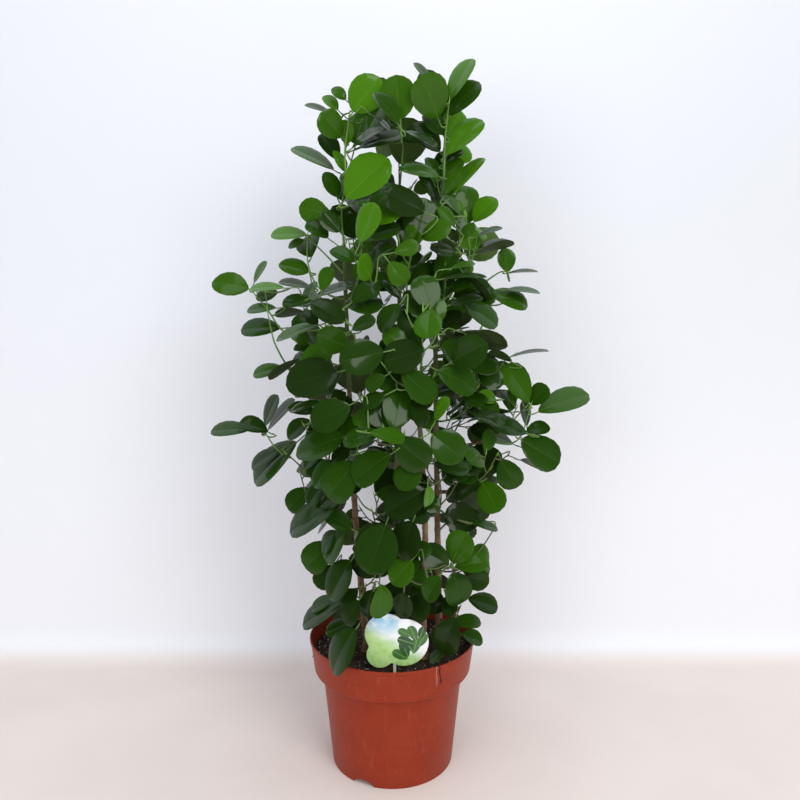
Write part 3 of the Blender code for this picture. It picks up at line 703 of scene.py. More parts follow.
label_card, flow = finish("label_card", (0.45, 0.62, 0.40), 0.30, Coat_Weight=0.4, Coat_Roughness=0.12)
place = here(flow)
x = place.part("X") - LABEL_CENTRE.x
z = place.part("Z") - LABEL_CENTRE.z
wisps = cloudy(flow, 85.0, 3.0, 0.55, stretch=(1.0, 0.1, 1.9))
sky = z.step(0.000, 0.028).between(colour(0.80, 0.88, 0.90), colour(0.25, 0.58, 0.84))
clouded = (wisps.step(0.40, 0.66) * 0.8 + x.step(-0.004, 0.012)).between(sky, colour(0.88, 0.92, 0.92))
hill = (x * 0.55 + z + 0.010 * wisps).step(0.010, -0.010)
meadow = cloudy(flow, 120.0, 2.0).step(0.3, 0.7).between(
    colour(0.36, 0.66, 0.20), colour(0.52, 0.76, 0.30)
)
picture = hill.between(clouded, meadow)
for number, (stalk_x, stalk_z, length, lean) in enumerate(PRINTED_LEAVES):
    lean = math.radians(lean)
    along = ((x - stalk_x) * math.sin(lean) + (z - stalk_z) * math.cos(lean)) / length
    across = ((x - stalk_x) * math.cos(lean) - (z - stalk_z) * math.sin(lean)) / length
    ahead = along.math("MAXIMUM", 0.0001)
    left = (1 - along).math("MAXIMUM", 0.0001)
    half = ahead**0.8 * left**0.5 * 0.70
    blade = (half - across.math("ABSOLUTE")).step(0.0, 0.03) * along.step(0.0, 0.02) * along.step(1.0, 0.98)
    vein = across.math("ABSOLUTE").step(0.035, 0.010)
    deep = number % 2
    green = vein.between(
        colour(0.018, 0.075, 0.018) if deep else colour(0.045, 0.15, 0.03), colour(0.16, 0.32, 0.10)
    )
    picture = blade.between(picture, green)
feed(label_card, Base_Color=picture)

label_stick, flow = finish("label_stick", (0.62, 0.60, 0.46), 0.45)
streaks = cloudy(flow, 260.0, 2.0, stretch=(1.0, 1.0, 0.06))
feed(
    label_stick,
    Base_Color=streaks.step(0.3, 0.7).between(colour(0.56, 0.54, 0.40), colour(0.68, 0.66, 0.52)),
    Normal=relief(flow, streaks, 0.0002),
)
card = new_object("label_card", verts, faces, label_card)
sharpen(card, 40)
stick_foot = MIX_TOP - STICK_SUNK
stick_top = LABEL_CENTRE.z + STICK_REACH
half = Vector((STICK_WIDTH / 2, STICK_THICKNESS / 2, 0))
heart = Vector((LABEL_CENTRE.x, LABEL_CENTRE.y + LABEL_THICKNESS / 2 + half.y, 0))
verts, faces = [], []
for height, narrow in ((stick_foot, 1.0), (stick_top - STICK_TIP, 1.0), (stick_top, STICK_TIP_SHARE)):
    for corner in range(STICK_SIDES):
        turn = math.radians(360 / STICK_SIDES * (corner + 0.5))
        round_x = math.copysign(min(1.0, abs(math.cos(turn)) * STICK_SQUARENESS), math.cos(turn)) * narrow
        round_y = math.copysign(min(1.0, abs(math.sin(turn)) * STICK_SQUARENESS), math.sin(turn))
        verts.append(heart + Vector((half.x * round_x, half.y * round_y, height)))
for first in (0, STICK_SIDES):
    for corner in range(STICK_SIDES):
        a, b = first + corner, first + (corner + 1) % STICK_SIDES
        faces.append((a, b, b + STICK_SIDES, a + STICK_SIDES))
faces.append(tuple(reversed(range(STICK_SIDES))))
faces.append(tuple(range(2 * STICK_SIDES, 3 * STICK_SIDES)))
stick = new_object("label_stick", verts, faces, label_stick)
sharpen(stick, 50)
for obj in (card, stick):
    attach(obj, "root")
    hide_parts("plant_label")

# ---------------------------------------------------------------- stems and boughs
# Four thin woody stems from one root, and the short bare boughs that carry the outer sprays.
# They grow by the plant's own rule, and each is drawn out as a tapering round limb with ringed bark.

GAP = 0.0003
CLEARANCE = 0.003
LABEL_ROOM = Vector((0.050, 0.060, 0.040))
LABEL_SKIN = Vector((0.040, 0.003, 0.032))
STEM_RADIUS = 0.0043
STEM_TIP_RADIUS = 0.0021
ROOT_FLARE = 1.8
FLARE_HEIGHT = 0.024
FLARE_RINGS = (0.0, 0.2, 0.5)
BOUGH_RADIUS = 0.0023
BOUGH_END = 1.15
BOUGH_SHARE = 0.42
SHOOT_STEPS = 6
LEVEL_START = 0.003
ARCH_OUT = 0.5
ARCH_RISE = 0.12
LEADER_START = 0.05
TWIG_RADIUS = 0.0014
TWIG_TIP_RADIUS = 0.0008
TWIG_GUARD = 0.0019
LIMB_GUARD = 1.3
LIMB_GUARD_SIDES = 7
GUARD_SIDES = 3
STEMS = {
    # name: (x, y) at the foot, then (x, y, z) on the way up
    "left": ((-0.032, -0.012), (-0.046, -0.014, 0.34), (-0.053, -0.012, 0.54), (-0.056, -0.010, 0.655)),
    "back": ((0.003, 0.030), (0.006, 0.036, 0.36), (0.009, 0.035, 0.56), (0.009, 0.032, 0.675)),
    "right": ((0.060, 0.000), (0.056, 0.006, 0.36), (0.053, 0.004, 0.55), (0.057, 0.000, 0.665)),
    "front": ((0.038, -0.030), (0.040, -0.036, 0.33), (0.030, -0.045, 0.48), (0.022, -0.050, 0.565)),
}
LEADER_TIPS = {
    "left": (-0.030, -0.014, 0.806),
    "back": (0.008, 0.030, 0.806),
    "right": (0.063, -0.004, 0.815),
    "front": (0.030, -0.066, 0.660),
}
LONG_SHOOTS = {
    # name: (stem, height where it leaves, tip)
    "left_upper": ("left", 0.468, (-0.148, -0.015, 0.615)),
    "left_middle": ("left", 0.385, (-0.156, -0.020, 0.452)),
    "left_lower": ("left", 0.320, (-0.108, -0.045, 0.385)),
    "right_upper": ("right", 0.520, (0.116, -0.012, 0.600)),
    "right_middle": ("right", 0.405, (0.178, -0.015, 0.474)),
    "right_lower": ("right", 0.350, (0.134, -0.030, 0.425)),
    "front_upper": ("front", 0.490, (0.034, -0.118, 0.580)),
    "front_lower": ("front", 0.400, (-0.006, -0.135, 0.455)),
    "back_upper": ("back", 0.420, (-0.060, 0.150, 0.500)),
    "back_lower": ("back", 0.360, (0.085, 0.140, 0.430)),
}
OUTER_SHOOTS = {
    "left_shoulder": ("left", 0.590, (-0.098, -0.015, 0.662)),
    "left_waist": ("left", 0.455, (-0.100, -0.030, 0.515)),
    "left_foot": ("left", 0.190, (-0.070, -0.040, 0.222)),
    "right_shoulder": ("right", 0.600, (0.086, -0.010, 0.685)),
    "right_waist": ("right", 0.440, (0.104, -0.040, 0.520)),
    "right_foot": ("right", 0.185, (0.082, -0.035, 0.215)),
    "front_waist": ("front", 0.300, (0.004, -0.080, 0.365)),
    "front_rosette": ("front", 0.235, (0.057, -0.088, 0.285)),
    "front_foot": ("left", 0.215, (-0.030, -0.084, 0.262)),
}
CROWN_AXIS = Vector((0.006, 0.004, 0.0))
CROWN_REACH = (
    # (height, radius)
    (0.180, 0.078), (0.260, 0.092), (0.360, 0.105), (0.450, 0.125), (0.550, 0.116), (0.650, 0.092),
    (0.730, 0.070),
)
SHORT_SHOOTS = 20
FIRST_BEARING = 157.5
GOLDEN_TURN = 137.5
SHORT_REACH = 0.62
SHORT_RISE = 0.075
SHORT_RISE_SHARE = 0.35
LOWEST_SHOOT = 0.030
SHOOT_TRIES = (0, 6, -6, 12, -12, 18, -18, 26, -26, 36, -36, 48, -48)
SHORT_TIP_HEIGHTS = (0.206, 0.728)
SIDE_TWIGS = ((0.36, 1), (0.64, -1))  # (share of the shoot's length, hand)
SIDE_TWIG_SHARE = 0.42
SIDE_TWIG_WAY = (0.6, 0.8, 0.15)  # along the shoot, across it and up
SIDE_TWIG_CURL = 0.35
SHOOT_SUNK = 0.0035


def bearing(degrees):
    """The level direction that many degrees round from the front, with +X at 90."""
    turn = math.radians(degrees)
    return Vector((math.sin(turn), -math.cos(turn), 0.0))


def graded(stops, at):
    """Reads a value off stops of (place, value)."""
    for (low, first), (high, last) in zip(stops, stops[1:]):
        if at <= high:
            return first + (last - first) * max(0.0, (at - low) / (high - low))
    return stops[-1][1]


def smooth_route(points, steps):
    """A smooth curve through a few points, with that many steps between each two."""
    points = [Vector(p) for p in points]
    points = [points[0] * 2 - points[1], *points, points[-1] * 2 - points[-2]]
    route = []
    for a, b, c, d in zip(points, points[1:], points[2:], points[3:]):
        slope, bow, twist = c - a, a * 2 - b * 5 + c * 4 - d, b * 3 - a - c * 3 + d
        for step in range(steps):
            t = step / steps
            route.append((b * 2 + slope * t + bow * t**2 + twist * t**3) / 2)
    return [*route, points[-2]]


def arched_route(start, outward, end, steps):
    """Leaves its limb level, then turns up or down towards its end."""
    reach = (end - start).length
    bend = start + outward * reach * ARCH_OUT + (end - start) * ARCH_RISE
    shares = [i / steps for i in range(steps + 1)]
    return [start * (1 - t) ** 2 + bend * 2 * t * (1 - t) + end * t**2 for t in shares]


def walk(route, distance):
    """The point and the direction at a distance along a route."""
    for a, b in zip(route, route[1:]):
        length = (b - a).length
        if distance <= length or b is route[-1]:
            return a + (b - a) * (distance / length), (b - a).normalized()
        distance -= length


def route_length(route):
    return sum((b - a).length for a, b in zip(route, route[1:]))


def at_height(route, height):
    """Where a stem's route passes a height."""
    for a, b in zip(route, route[1:]):
        if a.z <= height <= b.z:
            return a + (b - a) * ((height - a.z) / (b.z - a.z))
    return route[-1]


def stem_radius(height, foot, tip):
    """A stem's radius, with a true taper and a flare at its foot."""
    share = (height - foot) / (tip - foot)
    flare = max(0.0, 1 - (height - foot) / FLARE_HEIGHT)
    plain = STEM_RADIUS + (STEM_TIP_RADIUS - STEM_RADIUS) * share
    return plain * (1 + (ROOT_FLARE - 1) * flare**2)


def tapered(route, first, last):
    """Radii that run evenly from the first to the last along a route."""
    return [first + (last - first) * i / (len(route) - 1) for i in range(len(route))]


def tube(route, radii, sides):
    """Vertices and faces of a closed tube along a route."""
    verts, faces = [], []
    across = None
    for i, (point, radius) in enumerate(zip(route, radii)):
        ahead = (route[min(i + 1, len(route) - 1)] - route[max(i - 1, 0)]).normalized()
        if across is None:
            across = ahead.orthogonal()
        across = (across - ahead * across.dot(ahead)).normalized()
        up = ahead.cross(across)
        for side in range(sides):
            turn = 2 * math.pi * side / sides
            verts.append(point + (across * math.cos(turn) + up * math.sin(turn)) * radius)
    for i in range(len(route) - 1):
        for side in range(sides):
            a, b = i * sides + side, i * sides + (side + 1) % sides
            faces.append((a, b, b + sides, a + sides))
    faces.append(tuple(reversed(range(sides))))
    faces.append(tuple(range(len(verts) - sides, len(verts))))
    return verts, faces


class Room:
    """Keeps what has grown so far, so that nothing new runs through it."""

    def __init__(self):
        self.taken = []

    def measure(self, shape):
        verts, faces = shape
        centre = sum(verts, Vector()) / len(verts)
        radius = max((v - centre).length for v in verts)
        return centre, radius, BVHTree.FromPolygons(verts, faces)

    def add(self, owner, shape):
        self.taken.append((owner, *self.measure(shape)))

    def forget(self, count):
        """Gives up the last few shapes again."""
        del self.taken[len(self.taken) - count :]

    def is_free(self, shape, apart_from=()):
        centre, radius, tree = self.measure(shape)
        return not any(
            owner not in apart_from
            and (centre - other_centre).length < radius + other_radius
            and tree.overlap(other_tree)
            for owner, other_centre, other_radius, other_tree in self.taken
        )


def in_open_air(points, room_for_label=LABEL_ROOM):
    """True where points are clear of the pot, its mix and the label."""
    for p in points:
        radius = math.hypot(p.x, p.y)
        over_pot = radius < RIM_RADIUS + CLEARANCE
        over_rim = over_pot and radius > COLLAR_FOOT_RADIUS - 2 * CLEARANCE
        off = p - LABEL_CENTRE
        if over_pot and p.z < MIX_TOP + CLEARANCE or over_rim and p.z < POT_HEIGHT + CLEARANCE:
            return False
        before_label = abs(off.x) < room_for_label.x and abs(off.z) < room_for_label.z
        if before_label and -room_for_label.y < off.y < CLEARANCE:
            return False
    return True


def part_of(route, low, high, steps):
    """A stretch of a route, between two shares of its length."""
    length = route_length(route)
    return [walk(route, length * (low + (high - low) * i / steps))[0] for i in range(steps + 1)]


def shoot_route(limb, height, end):
    """A shoot's route from just clear of its stem's bark."""
    route, radii = limb
    heart = at_height(route, height)
    outward = Vector((end.x - heart.x, end.y - heart.y, 0)).normalized()
    nearest = min(range(len(route)), key=lambda i: abs(route[i].z - height))
    start = heart + outward * (radii[nearest] + 2 * GAP)
    return [start, *arched_route(start + outward * LEVEL_START, outward, end, SHOOT_STEPS)]


def turned(point, degrees):
    """A point carried round the crown's axis."""
    return CROWN_AXIS + Matrix.Rotation(math.radians(degrees), 3, "Z") @ (point - CROWN_AXIS)


def free_route(limb_name, height, end, radius):
    """Aims a shoot at its end, or a little to one side of it where something is in the way."""
    for aside in SHOOT_TRIES:
        route = shoot_route(limbs[limb_name], height, turned(end, aside))
        widths = [radius + 3 * GAP] * len(route)
        whole = tube(route, widths, GUARD_SIDES)
        outer = tube(route[1:], widths[1:], GUARD_SIDES)
        if room.is_free(whole, {limb_name}) and room.is_free(outer):
            return route
    return None


def sunk(route):
    """Where a shoot's wood starts, inside the limb that it leaves."""
    return route[0] - (route[1] - route[0]).normalized() * SHOOT_SUNK


room = Room()
limbs = {}
foot = MIX_TOP + GAP
for name, (place, *points) in STEMS.items():
    tip = points[-1][2]
    curve = smooth_route([(*place, foot), *points], 5)
    rise = [Vector((curve[0].x, curve[0].y, foot + FLARE_HEIGHT * share)) for share in FLARE_RINGS]
    route = [*rise, *(p for p in curve if p.z > foot + FLARE_HEIGHT)]
    limbs[f"stem_{name}"] = (route, [stem_radius(p.z, foot, tip) for p in route])
for name, (route, radii) in limbs.items():
    room.add(name, tube(route, [r * LIMB_GUARD for r in radii], LIMB_GUARD_SIDES))

sprays = {}  # each spray's twigs, the shoot that carries it first
roots = {}  # where that shoot's wood starts
for name, end in LEADER_TIPS.items():
    route, radii = limbs[f"stem_{name}"]
    start = route[-1] + Vector((0, 0, 1.5 * GAP))
    ahead = (route[-1] - route[-2]).normalized()
    leader = smooth_route([start, start + ahead * LEADER_START, end], 4)
    sprays[f"foliage_top_{name}"] = [leader]
    roots[f"foliage_top_{name}"] = route[-1]
    room.add(f"foliage_top_{name}", tube(leader, [TWIG_GUARD] * len(leader), GUARD_SIDES))

for name, (stem, height, end) in LONG_SHOOTS.items():
    route = free_route(f"stem_{stem}", height, Vector(end), BOUGH_RADIUS)
    if route is None:
        continue
    bough = part_of(route, 0.0, BOUGH_SHARE, 5)
    limbs[f"bough_{name}"] = (bough, tapered(bough, BOUGH_RADIUS, TWIG_RADIUS * BOUGH_END))
    rest = part_of(route, BOUGH_SHARE + 2 * GAP / route_length(route), 1.0, 6)
    sprays[f"foliage_{name}"] = [rest]
    roots[f"foliage_{name}"] = bough[-1]
    room.add(f"bough_{name}", tube(bough, [BOUGH_RADIUS * LIMB_GUARD] * len(bough), LIMB_GUARD_SIDES))
    room.add(f"foliage_{name}", tube(rest, [TWIG_GUARD] * len(rest), GUARD_SIDES))

for name, (stem, height, end) in OUTER_SHOOTS.items():
    route = free_route(f"stem_{stem}", height, Vector(end), TWIG_RADIUS)
    if route is None:
        continue
    sprays[f"foliage_{name}"] = [route]
    roots[f"foliage_{name}"] = sunk(route)
    room.add(f"foliage_{name}", tube(route, [TWIG_GUARD] * len(route), GUARD_SIDES))

low, high = SHORT_TIP_HEIGHTS
for k in range(SHORT_SHOOTS):
    height = low + (high - low) * (k + 0.5) / SHORT_SHOOTS
    turn = FIRST_BEARING + GOLDEN_TURN * k
    reach = graded(CROWN_REACH, height) * (SHORT_REACH if k % 4 == 3 else 1.0)
    end = CROWN_AXIS + bearing(turn) * reach + Vector((0, 0, height))
    rise = min(SHORT_RISE, SHORT_RISE_SHARE * (height - low))
    from_height = max(height - rise, MIX_TOP + LOWEST_SHOOT)

    def off_line(limb_name):
        route = limbs[limb_name][0]
        too_short = route[-1].z < from_height + 0.01
        return too_short, ((at_height(route, from_height) - end) * Vector((1, 1, 0))).length

    limb_name = min((n for n in limbs if n.startswith("stem_")), key=off_line)
    route = free_route(limb_name, from_height, end, TWIG_RADIUS)
    if route is None:
        continue
    name = f"foliage_{k + 1:02d}"
    sprays[name] = [route]
    roots[name] = sunk(route)
    room.add(name, tube(route, [TWIG_GUARD] * len(route), GUARD_SIDES))

for name, twigs in sprays.items():
    if name.startswith("foliage_top_"):
        continue
    shoot = twigs[0]
    length = route_length(shoot)
    for share, hand in SIDE_TWIGS:
        start, ahead = walk(shoot, length * share)
        outward = (start - CROWN_AXIS) * Vector((1, 1, 0))
        across = ahead.cross(outward.normalized()).normalized() * hand
        onward, sideways, upward = SIDE_TWIG_WAY
        way = (ahead * onward + across * sideways + Vector((0, 0, upward))).normalized()
        reach = length * SIDE_TWIG_SHARE
        tip = start + (way + ahead * SIDE_TWIG_CURL).normalized() * reach
        twig = [start, start + way * reach * 0.5, tip]
        shape = tube(twig, [TWIG_GUARD] * len(twig), GUARD_SIDES)
        if room.is_free(shape, {name}) and in_open_air(twig):
            twigs.append(twig)
            room.add(name, shape)

# The wood as it shows: its mesh, its bark and the knuckle at each old leaf's place.
BARK_STEP = 0.0022
BARK_RELIEF = 0.00055
BARK_FINENESS = 330.0
BARK_STRETCH = (1.0, 1.0, 0.45)
STEM_SIDES = 20
BOUGH_SIDES = 14
BOUGH_RELIEF = 0.6
BOUGH_SUNK = 0.0045
BOUGH_COLLAR = 1.35
NODE_SPACING = 0.016
NODE_SWELL = 1.13


def new_curves(name, lines):
    """A curve object of open lines, each a route with its radii."""
    curve = bpy.data.curves.new(name, "CURVE")
    curve.dimensions = "3D"
    for route, radii in lines:
        spline = curve.splines.new("POLY")
        spline.points.add(len(route) - 1)
        for point, place, radius in zip(spline.points, route, radii):
            point.co = (*place, 1.0)
            point.radius = radius
    obj = bpy.data.objects.new(name, curve)
    scene.collection.objects.link(obj)
    return obj


def wood_from_curves(name, lines, step, sides, bump, material):
    """Draws lines out as round wood with closed ends, and raises its bark."""
    sizes = {"Step": step, "Sides": sides, "Bark": bump}
    tree, flows = new_recipe(name, sizes)
    flow = flows["Shape"]
    inputs = {"Curve": flow, "Length": flows["Step"]}
    fine = flow.node("GeometryNodeResampleCurve", {"mode": "LENGTH"}, inputs)
    inputs = {"Resolution": flows["Sides"], "Radius": 1.0}
    ring = flow.node("GeometryNodeCurvePrimitiveCircle", inputs=inputs)
    width = flow.node("GeometryNodeInputRadius")
    inputs = {"Curve": fine, "Profile Curve": ring, "Scale": width, "Fill Caps": True}
    round_wood = flow.node("GeometryNodeCurveToMesh", inputs=inputs)
    place = flow.node("GeometryNodeInputPosition")
    scaled = flow.node("ShaderNodeVectorMath", {"operation": "MULTIPLY"}, {0: place, 1: BARK_STRETCH})
    rough = flow.node("ShaderNodeTexNoise", inputs={"Vector": scaled, "Scale": BARK_FINENESS, "Detail": 2.0})
    push = (rough - 0.5) * flows["Bark"]
    inputs = {0: flow.node("GeometryNodeInputNormal"), "Scale": push}
    offset = flow.node("ShaderNodeVectorMath", {"operation": "SCALE"}, inputs)
    barked = flow.node("GeometryNodeSetPosition", inputs={"Geometry": round_wood, "Offset": offset})
    soft = flow.node("GeometryNodeSetShadeSmooth", inputs={"Geometry": barked})
    whole = flow.node("GeometryNodeRealizeInstances", inputs={"Geometry": soft})
    painted = flow.node("GeometryNodeSetMaterial", inputs={"Geometry": whole, "Material": material})
    return follow_recipe(new_curves(name, lines), tree, painted, sizes)


def knuckled(route, radii, spacing):
    """A route and its radii in short steps, a little swollen at each node where a leaf once sat."""
    length = route_length(route)
    count = max(4, round(length / spacing) * 4)
    points, widths = [], []
    for i in range(count + 1):
        distance = length * i / count
        points.append(walk(route, distance)[0])
        passed = 0.0
        width = radii[-1]
        for a, b, first, last in zip(route, route[1:], radii, radii[1:]):
            step = (b - a).length
            if distance <= passed + step:
                width = first + (last - first) * (distance - passed) / step
                break
            passed += step
        widths.append(width * (NODE_SWELL if i % 4 == 2 else 1.0))
    return points, widths


bark, flow = finish("bark", (0.13, 0.085, 0.045), 0.8)
up = here(flow).part("Z")
patches = cloudy(flow, 60.0, 3.0, 0.6)
rings = cloudy(flow, 300.0, 2.0, 0.6, stretch=(0.35, 0.35, 1.6))
lenticels = cloudy(flow, 620.0, 1.0).step(0.64, 0.74)
old = patches.step(0.3, 0.7).between(colour(0.170, 0.098, 0.048), colour(0.285, 0.182, 0.095))
green_wood = patches.step(0.3, 0.7).between(colour(0.075, 0.090, 0.022), colour(0.060, 0.120, 0.022))
aged = (up + patches * 0.10).step(0.36, 0.62).between(old, green_wood)
ringed = (rings.step(0.55, 0.72) * 0.45).between(aged, colour(0.055, 0.034, 0.020))
dotted = (lenticels * 0.55).between(ringed, colour(0.30, 0.23, 0.15))
feed(
    bark,
    Base_Color=dotted,
    Roughness=0.74 + rings * 0.14,
    Normal=relief(flow, rings + lenticels * 0.4, 0.0005, 0.8),
)
stem_lines, bough_lines = [], []
for name, (route, radii) in limbs.items():
    if name.startswith("stem_"):
        stem_lines.append(knuckled(route, radii, NODE_SPACING))
    else:
        route = smooth_route(route, 3)
        route = [route[0] - (route[1] - route[0]).normalized() * BOUGH_SUNK, *route]
        stretched = tapered(route, radii[0], radii[-1])
        bough_lines.append(knuckled(route, [stretched[0] * BOUGH_COLLAR, *stretched[1:]], NODE_SPACING))
stems = wood_from_curves("stems", stem_lines, BARK_STEP, STEM_SIDES, BARK_RELIEF, bark)
boughs = wood_from_curves("boughs", bough_lines, BARK_STEP, BOUGH_SIDES, BARK_RELIEF * BOUGH_RELIEF, bark)
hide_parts(*(n for n in frame["nodes"] if n.startswith("stem_")))
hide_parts(*(n for n in frame["nodes"] if n.startswith("bough_")))
for obj in (stems, boughs):
    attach(obj, "root")

# ---------------------------------------------------------------- twigs and leaf stalks
# Green and brown twigs that carry a leaf at each joint in a spiral, each on a short green stalk. The leaves
# that lead the crown's front have places of their own and a twig each, and the rest grow by rule round them.
# Shorter, finer twigs with small leaves grow wherever there is still room.

# The rule by which leaves grow, with grades as (height, value).
SEED = 2
LEAF_LENGTH = 0.052
LEAF_WIDTH_SHARE = 0.82
LEAF_STALK = 0.011
LEAF_OPENING = 58.0
LEAF_SPACING = 0.0175
TIP_SPACING = 0.35
ROOT_SPACING = 0.8
SPACING_GROWTH = 1.5
LEAF_LIFT = ((0.17, -0.95), (0.35, -0.60), (0.52, -0.10), (0.66, 0.20), (0.84, 0.95))
LEAF_SIZE = ((0.17, 0.96), (0.45, 1.0), (0.65, 0.92), (0.80, 1.12))
LEAF_SKY = ((0.17, 0.45), (0.40, 0.55), (0.58, 1.10), (0.70, 0.60), (0.84, 0.25))
LEAF_FRONT = ((0.17, 0.45), (0.70, 0.45), (0.84, 0.85))
FRONT_DEPTH = 0.030
POINTING_OUT = 0.5
FACING_OUT = 0.55
LIFT_SPREAD = 0.25
FACING_SPREAD = 0.4
SPIN_SPREAD = 12
SIZE_SPREAD = (0.88, 1.12)
YOUNG_LEAVES = {0: 0.72, 1: 0.86}  # sizes by place from the twig's tip
FULL_GROWN = 2
LEAF_TRIES = ((0, 1.0), (40, 1.0), (-40, 1.0), (85, 0.95), (-85, 0.95), (140, 0.85), (180, 0.8))

# The room that a leaf keeps to itself, its outline as (share of the length, share of the width).
THICKEST = 0.52
GUARD_OUTLINE = (
    (0.08, 0.27), (0.22, 0.40), (0.46, 0.53), (0.72, 0.54), (0.90, 0.33), (1.03, 0.0),
    (0.90, -0.33), (0.72, -0.54), (0.46, -0.53), (0.22, -0.40), (0.08, -0.27),
)
GUARD_THICKNESS = 0.0022
GUARD_ROOT = 0.0008
ROOT_SUNK = 0.0001

# Finer twigs, with a leaf at each of three shares of their length.
FINE_SPACING = 0.034
FINE_TRIES = 4
FINE_STRETCH = (0.15, 0.97)
FINE_LENGTH = (0.016, 0.030)
FINE_LEAF = (0.46, 0.70)
FINE_RADIUS = 0.0010
FINE_GUARD = 1.3
FINE_WAY = (0.6, 0.35)  # along the twig and up
FINE_CURL = 0.3
FINE_PLACES = ((1.0, 0.8), (0.84, 1.0), (0.55, 1.05))  # (share of the length, share of the size)
FINE_TURNS = (0, 60, -60, 120, -120)
FINE_LEAST = 2
JUST_SHORT = 0.999

# Leading leaves are placed by column and row of the camera's square view, and grow from the wood behind.
VIEW_SIZE = 800
LENS_PIXELS = VIEW_SIZE * CAMERA_LENS / SENSOR_WIDTH
CAMERA_TURN = Matrix.Rotation(math.radians(CAMERA_TILT), 3, "X")
BLADE_SHARE = 0.78
CROWN_BULGE = ((0.60, 1.05), (0.74, 0.75))
FRONT_GAP = 0.012
SKYWARD_TILT = 14.0
TOWARDS_CAMERA = 0.8
EDGE_ON = 0.45
GLARE_ANGLE = 13.0
GLARE_TURN = 1.5
DEPTH_TRIES = (0, 6, -6, 12, -12, 18, -18, -26, -34, 26, 34, 44)
LEADING_STALK = 0.008
LEADING_TWIG = 0.0016
LEADING_SAG = 0.12
LEADING_BEND = 0.3
LEADING_OVERLAP = 0.0005
WOOD_STEP = 0.004
LOWER_LIKING = 0.8
SHORTEST_TWIG = 0.003
WHOLE_TWIG = 0.95

# Where the crown's edge shows, as (row, left, right).
CROWN_EDGE = (
    (92, 436, 458), (104, 352, 460), (130, 345, 462), (165, 342, 462), (200, 330, 468), (235, 306, 480),
    (270, 300, 488), (300, 296, 490), (330, 296, 486), (360, 300, 502), (385, 302, 532), (410, 294, 538),
    (440, 284, 536), (465, 282, 528), (485, 302, 502), (510, 312, 492), (545, 320, 484), (580, 324, 476),
    (610, 324, 478), (650, 336, 464),
)
# Where the wall shows through the crown, as (column, row, radius), and how far leaves keep off.
WINDOW_MARGIN = 9
WINDOWS = (
    (388, 158, 9), (416, 172, 7), (326, 182, 10), (418, 112, 7), (404, 215, 6), (334, 262, 8), (428, 252, 7),
    (470, 258, 7), (478, 320, 8), (376, 322, 7), (336, 362, 7), (380, 350, 6), (430, 352, 6), (342, 392, 7),
    (366, 388, 8), (440, 408, 7), (460, 428, 9), (408, 428, 7), (330, 455, 8), (425, 440, 6), (510, 448, 7),
    (366, 492, 9), (430, 478, 8), (452, 498, 9), (368, 512, 7), (428, 528, 8), (352, 576, 8), (386, 578, 6),
)
# Branchlets that stand clear of the crown: distance behind its front in mm, and (column, row) of each joint.
BRANCHLETS = (
    (0, ((308, 353), (290, 336), (279, 327), (268, 310), (257, 297))),
    (0, ((345, 275), (325, 254), (308, 238))),
    (0, ((335, 330), (322, 308), (314, 290), (310, 275))),
    (0, ((310, 476), (297, 463), (288, 455))),
    (6, ((285, 456), (274, 446), (266, 434))),
    (0, ((346, 175), (345, 150), (349, 118))),
    (44, ((399, 225), (400, 185), (403, 150), (401, 122))),
    (0, ((444, 180), (445, 140), (449, 104))),
    (0, ((458, 300), (482, 284), (500, 272), (507, 272))),
    (6, ((470, 268), (474, 252), (476, 242))),
    (0, ((492, 440), (508, 444), (521, 436), (530, 408))),
    (8, ((478, 400), (492, 385), (503, 362), (512, 356))),
    (0, ((438, 574), (447, 568), (452, 565))),
)
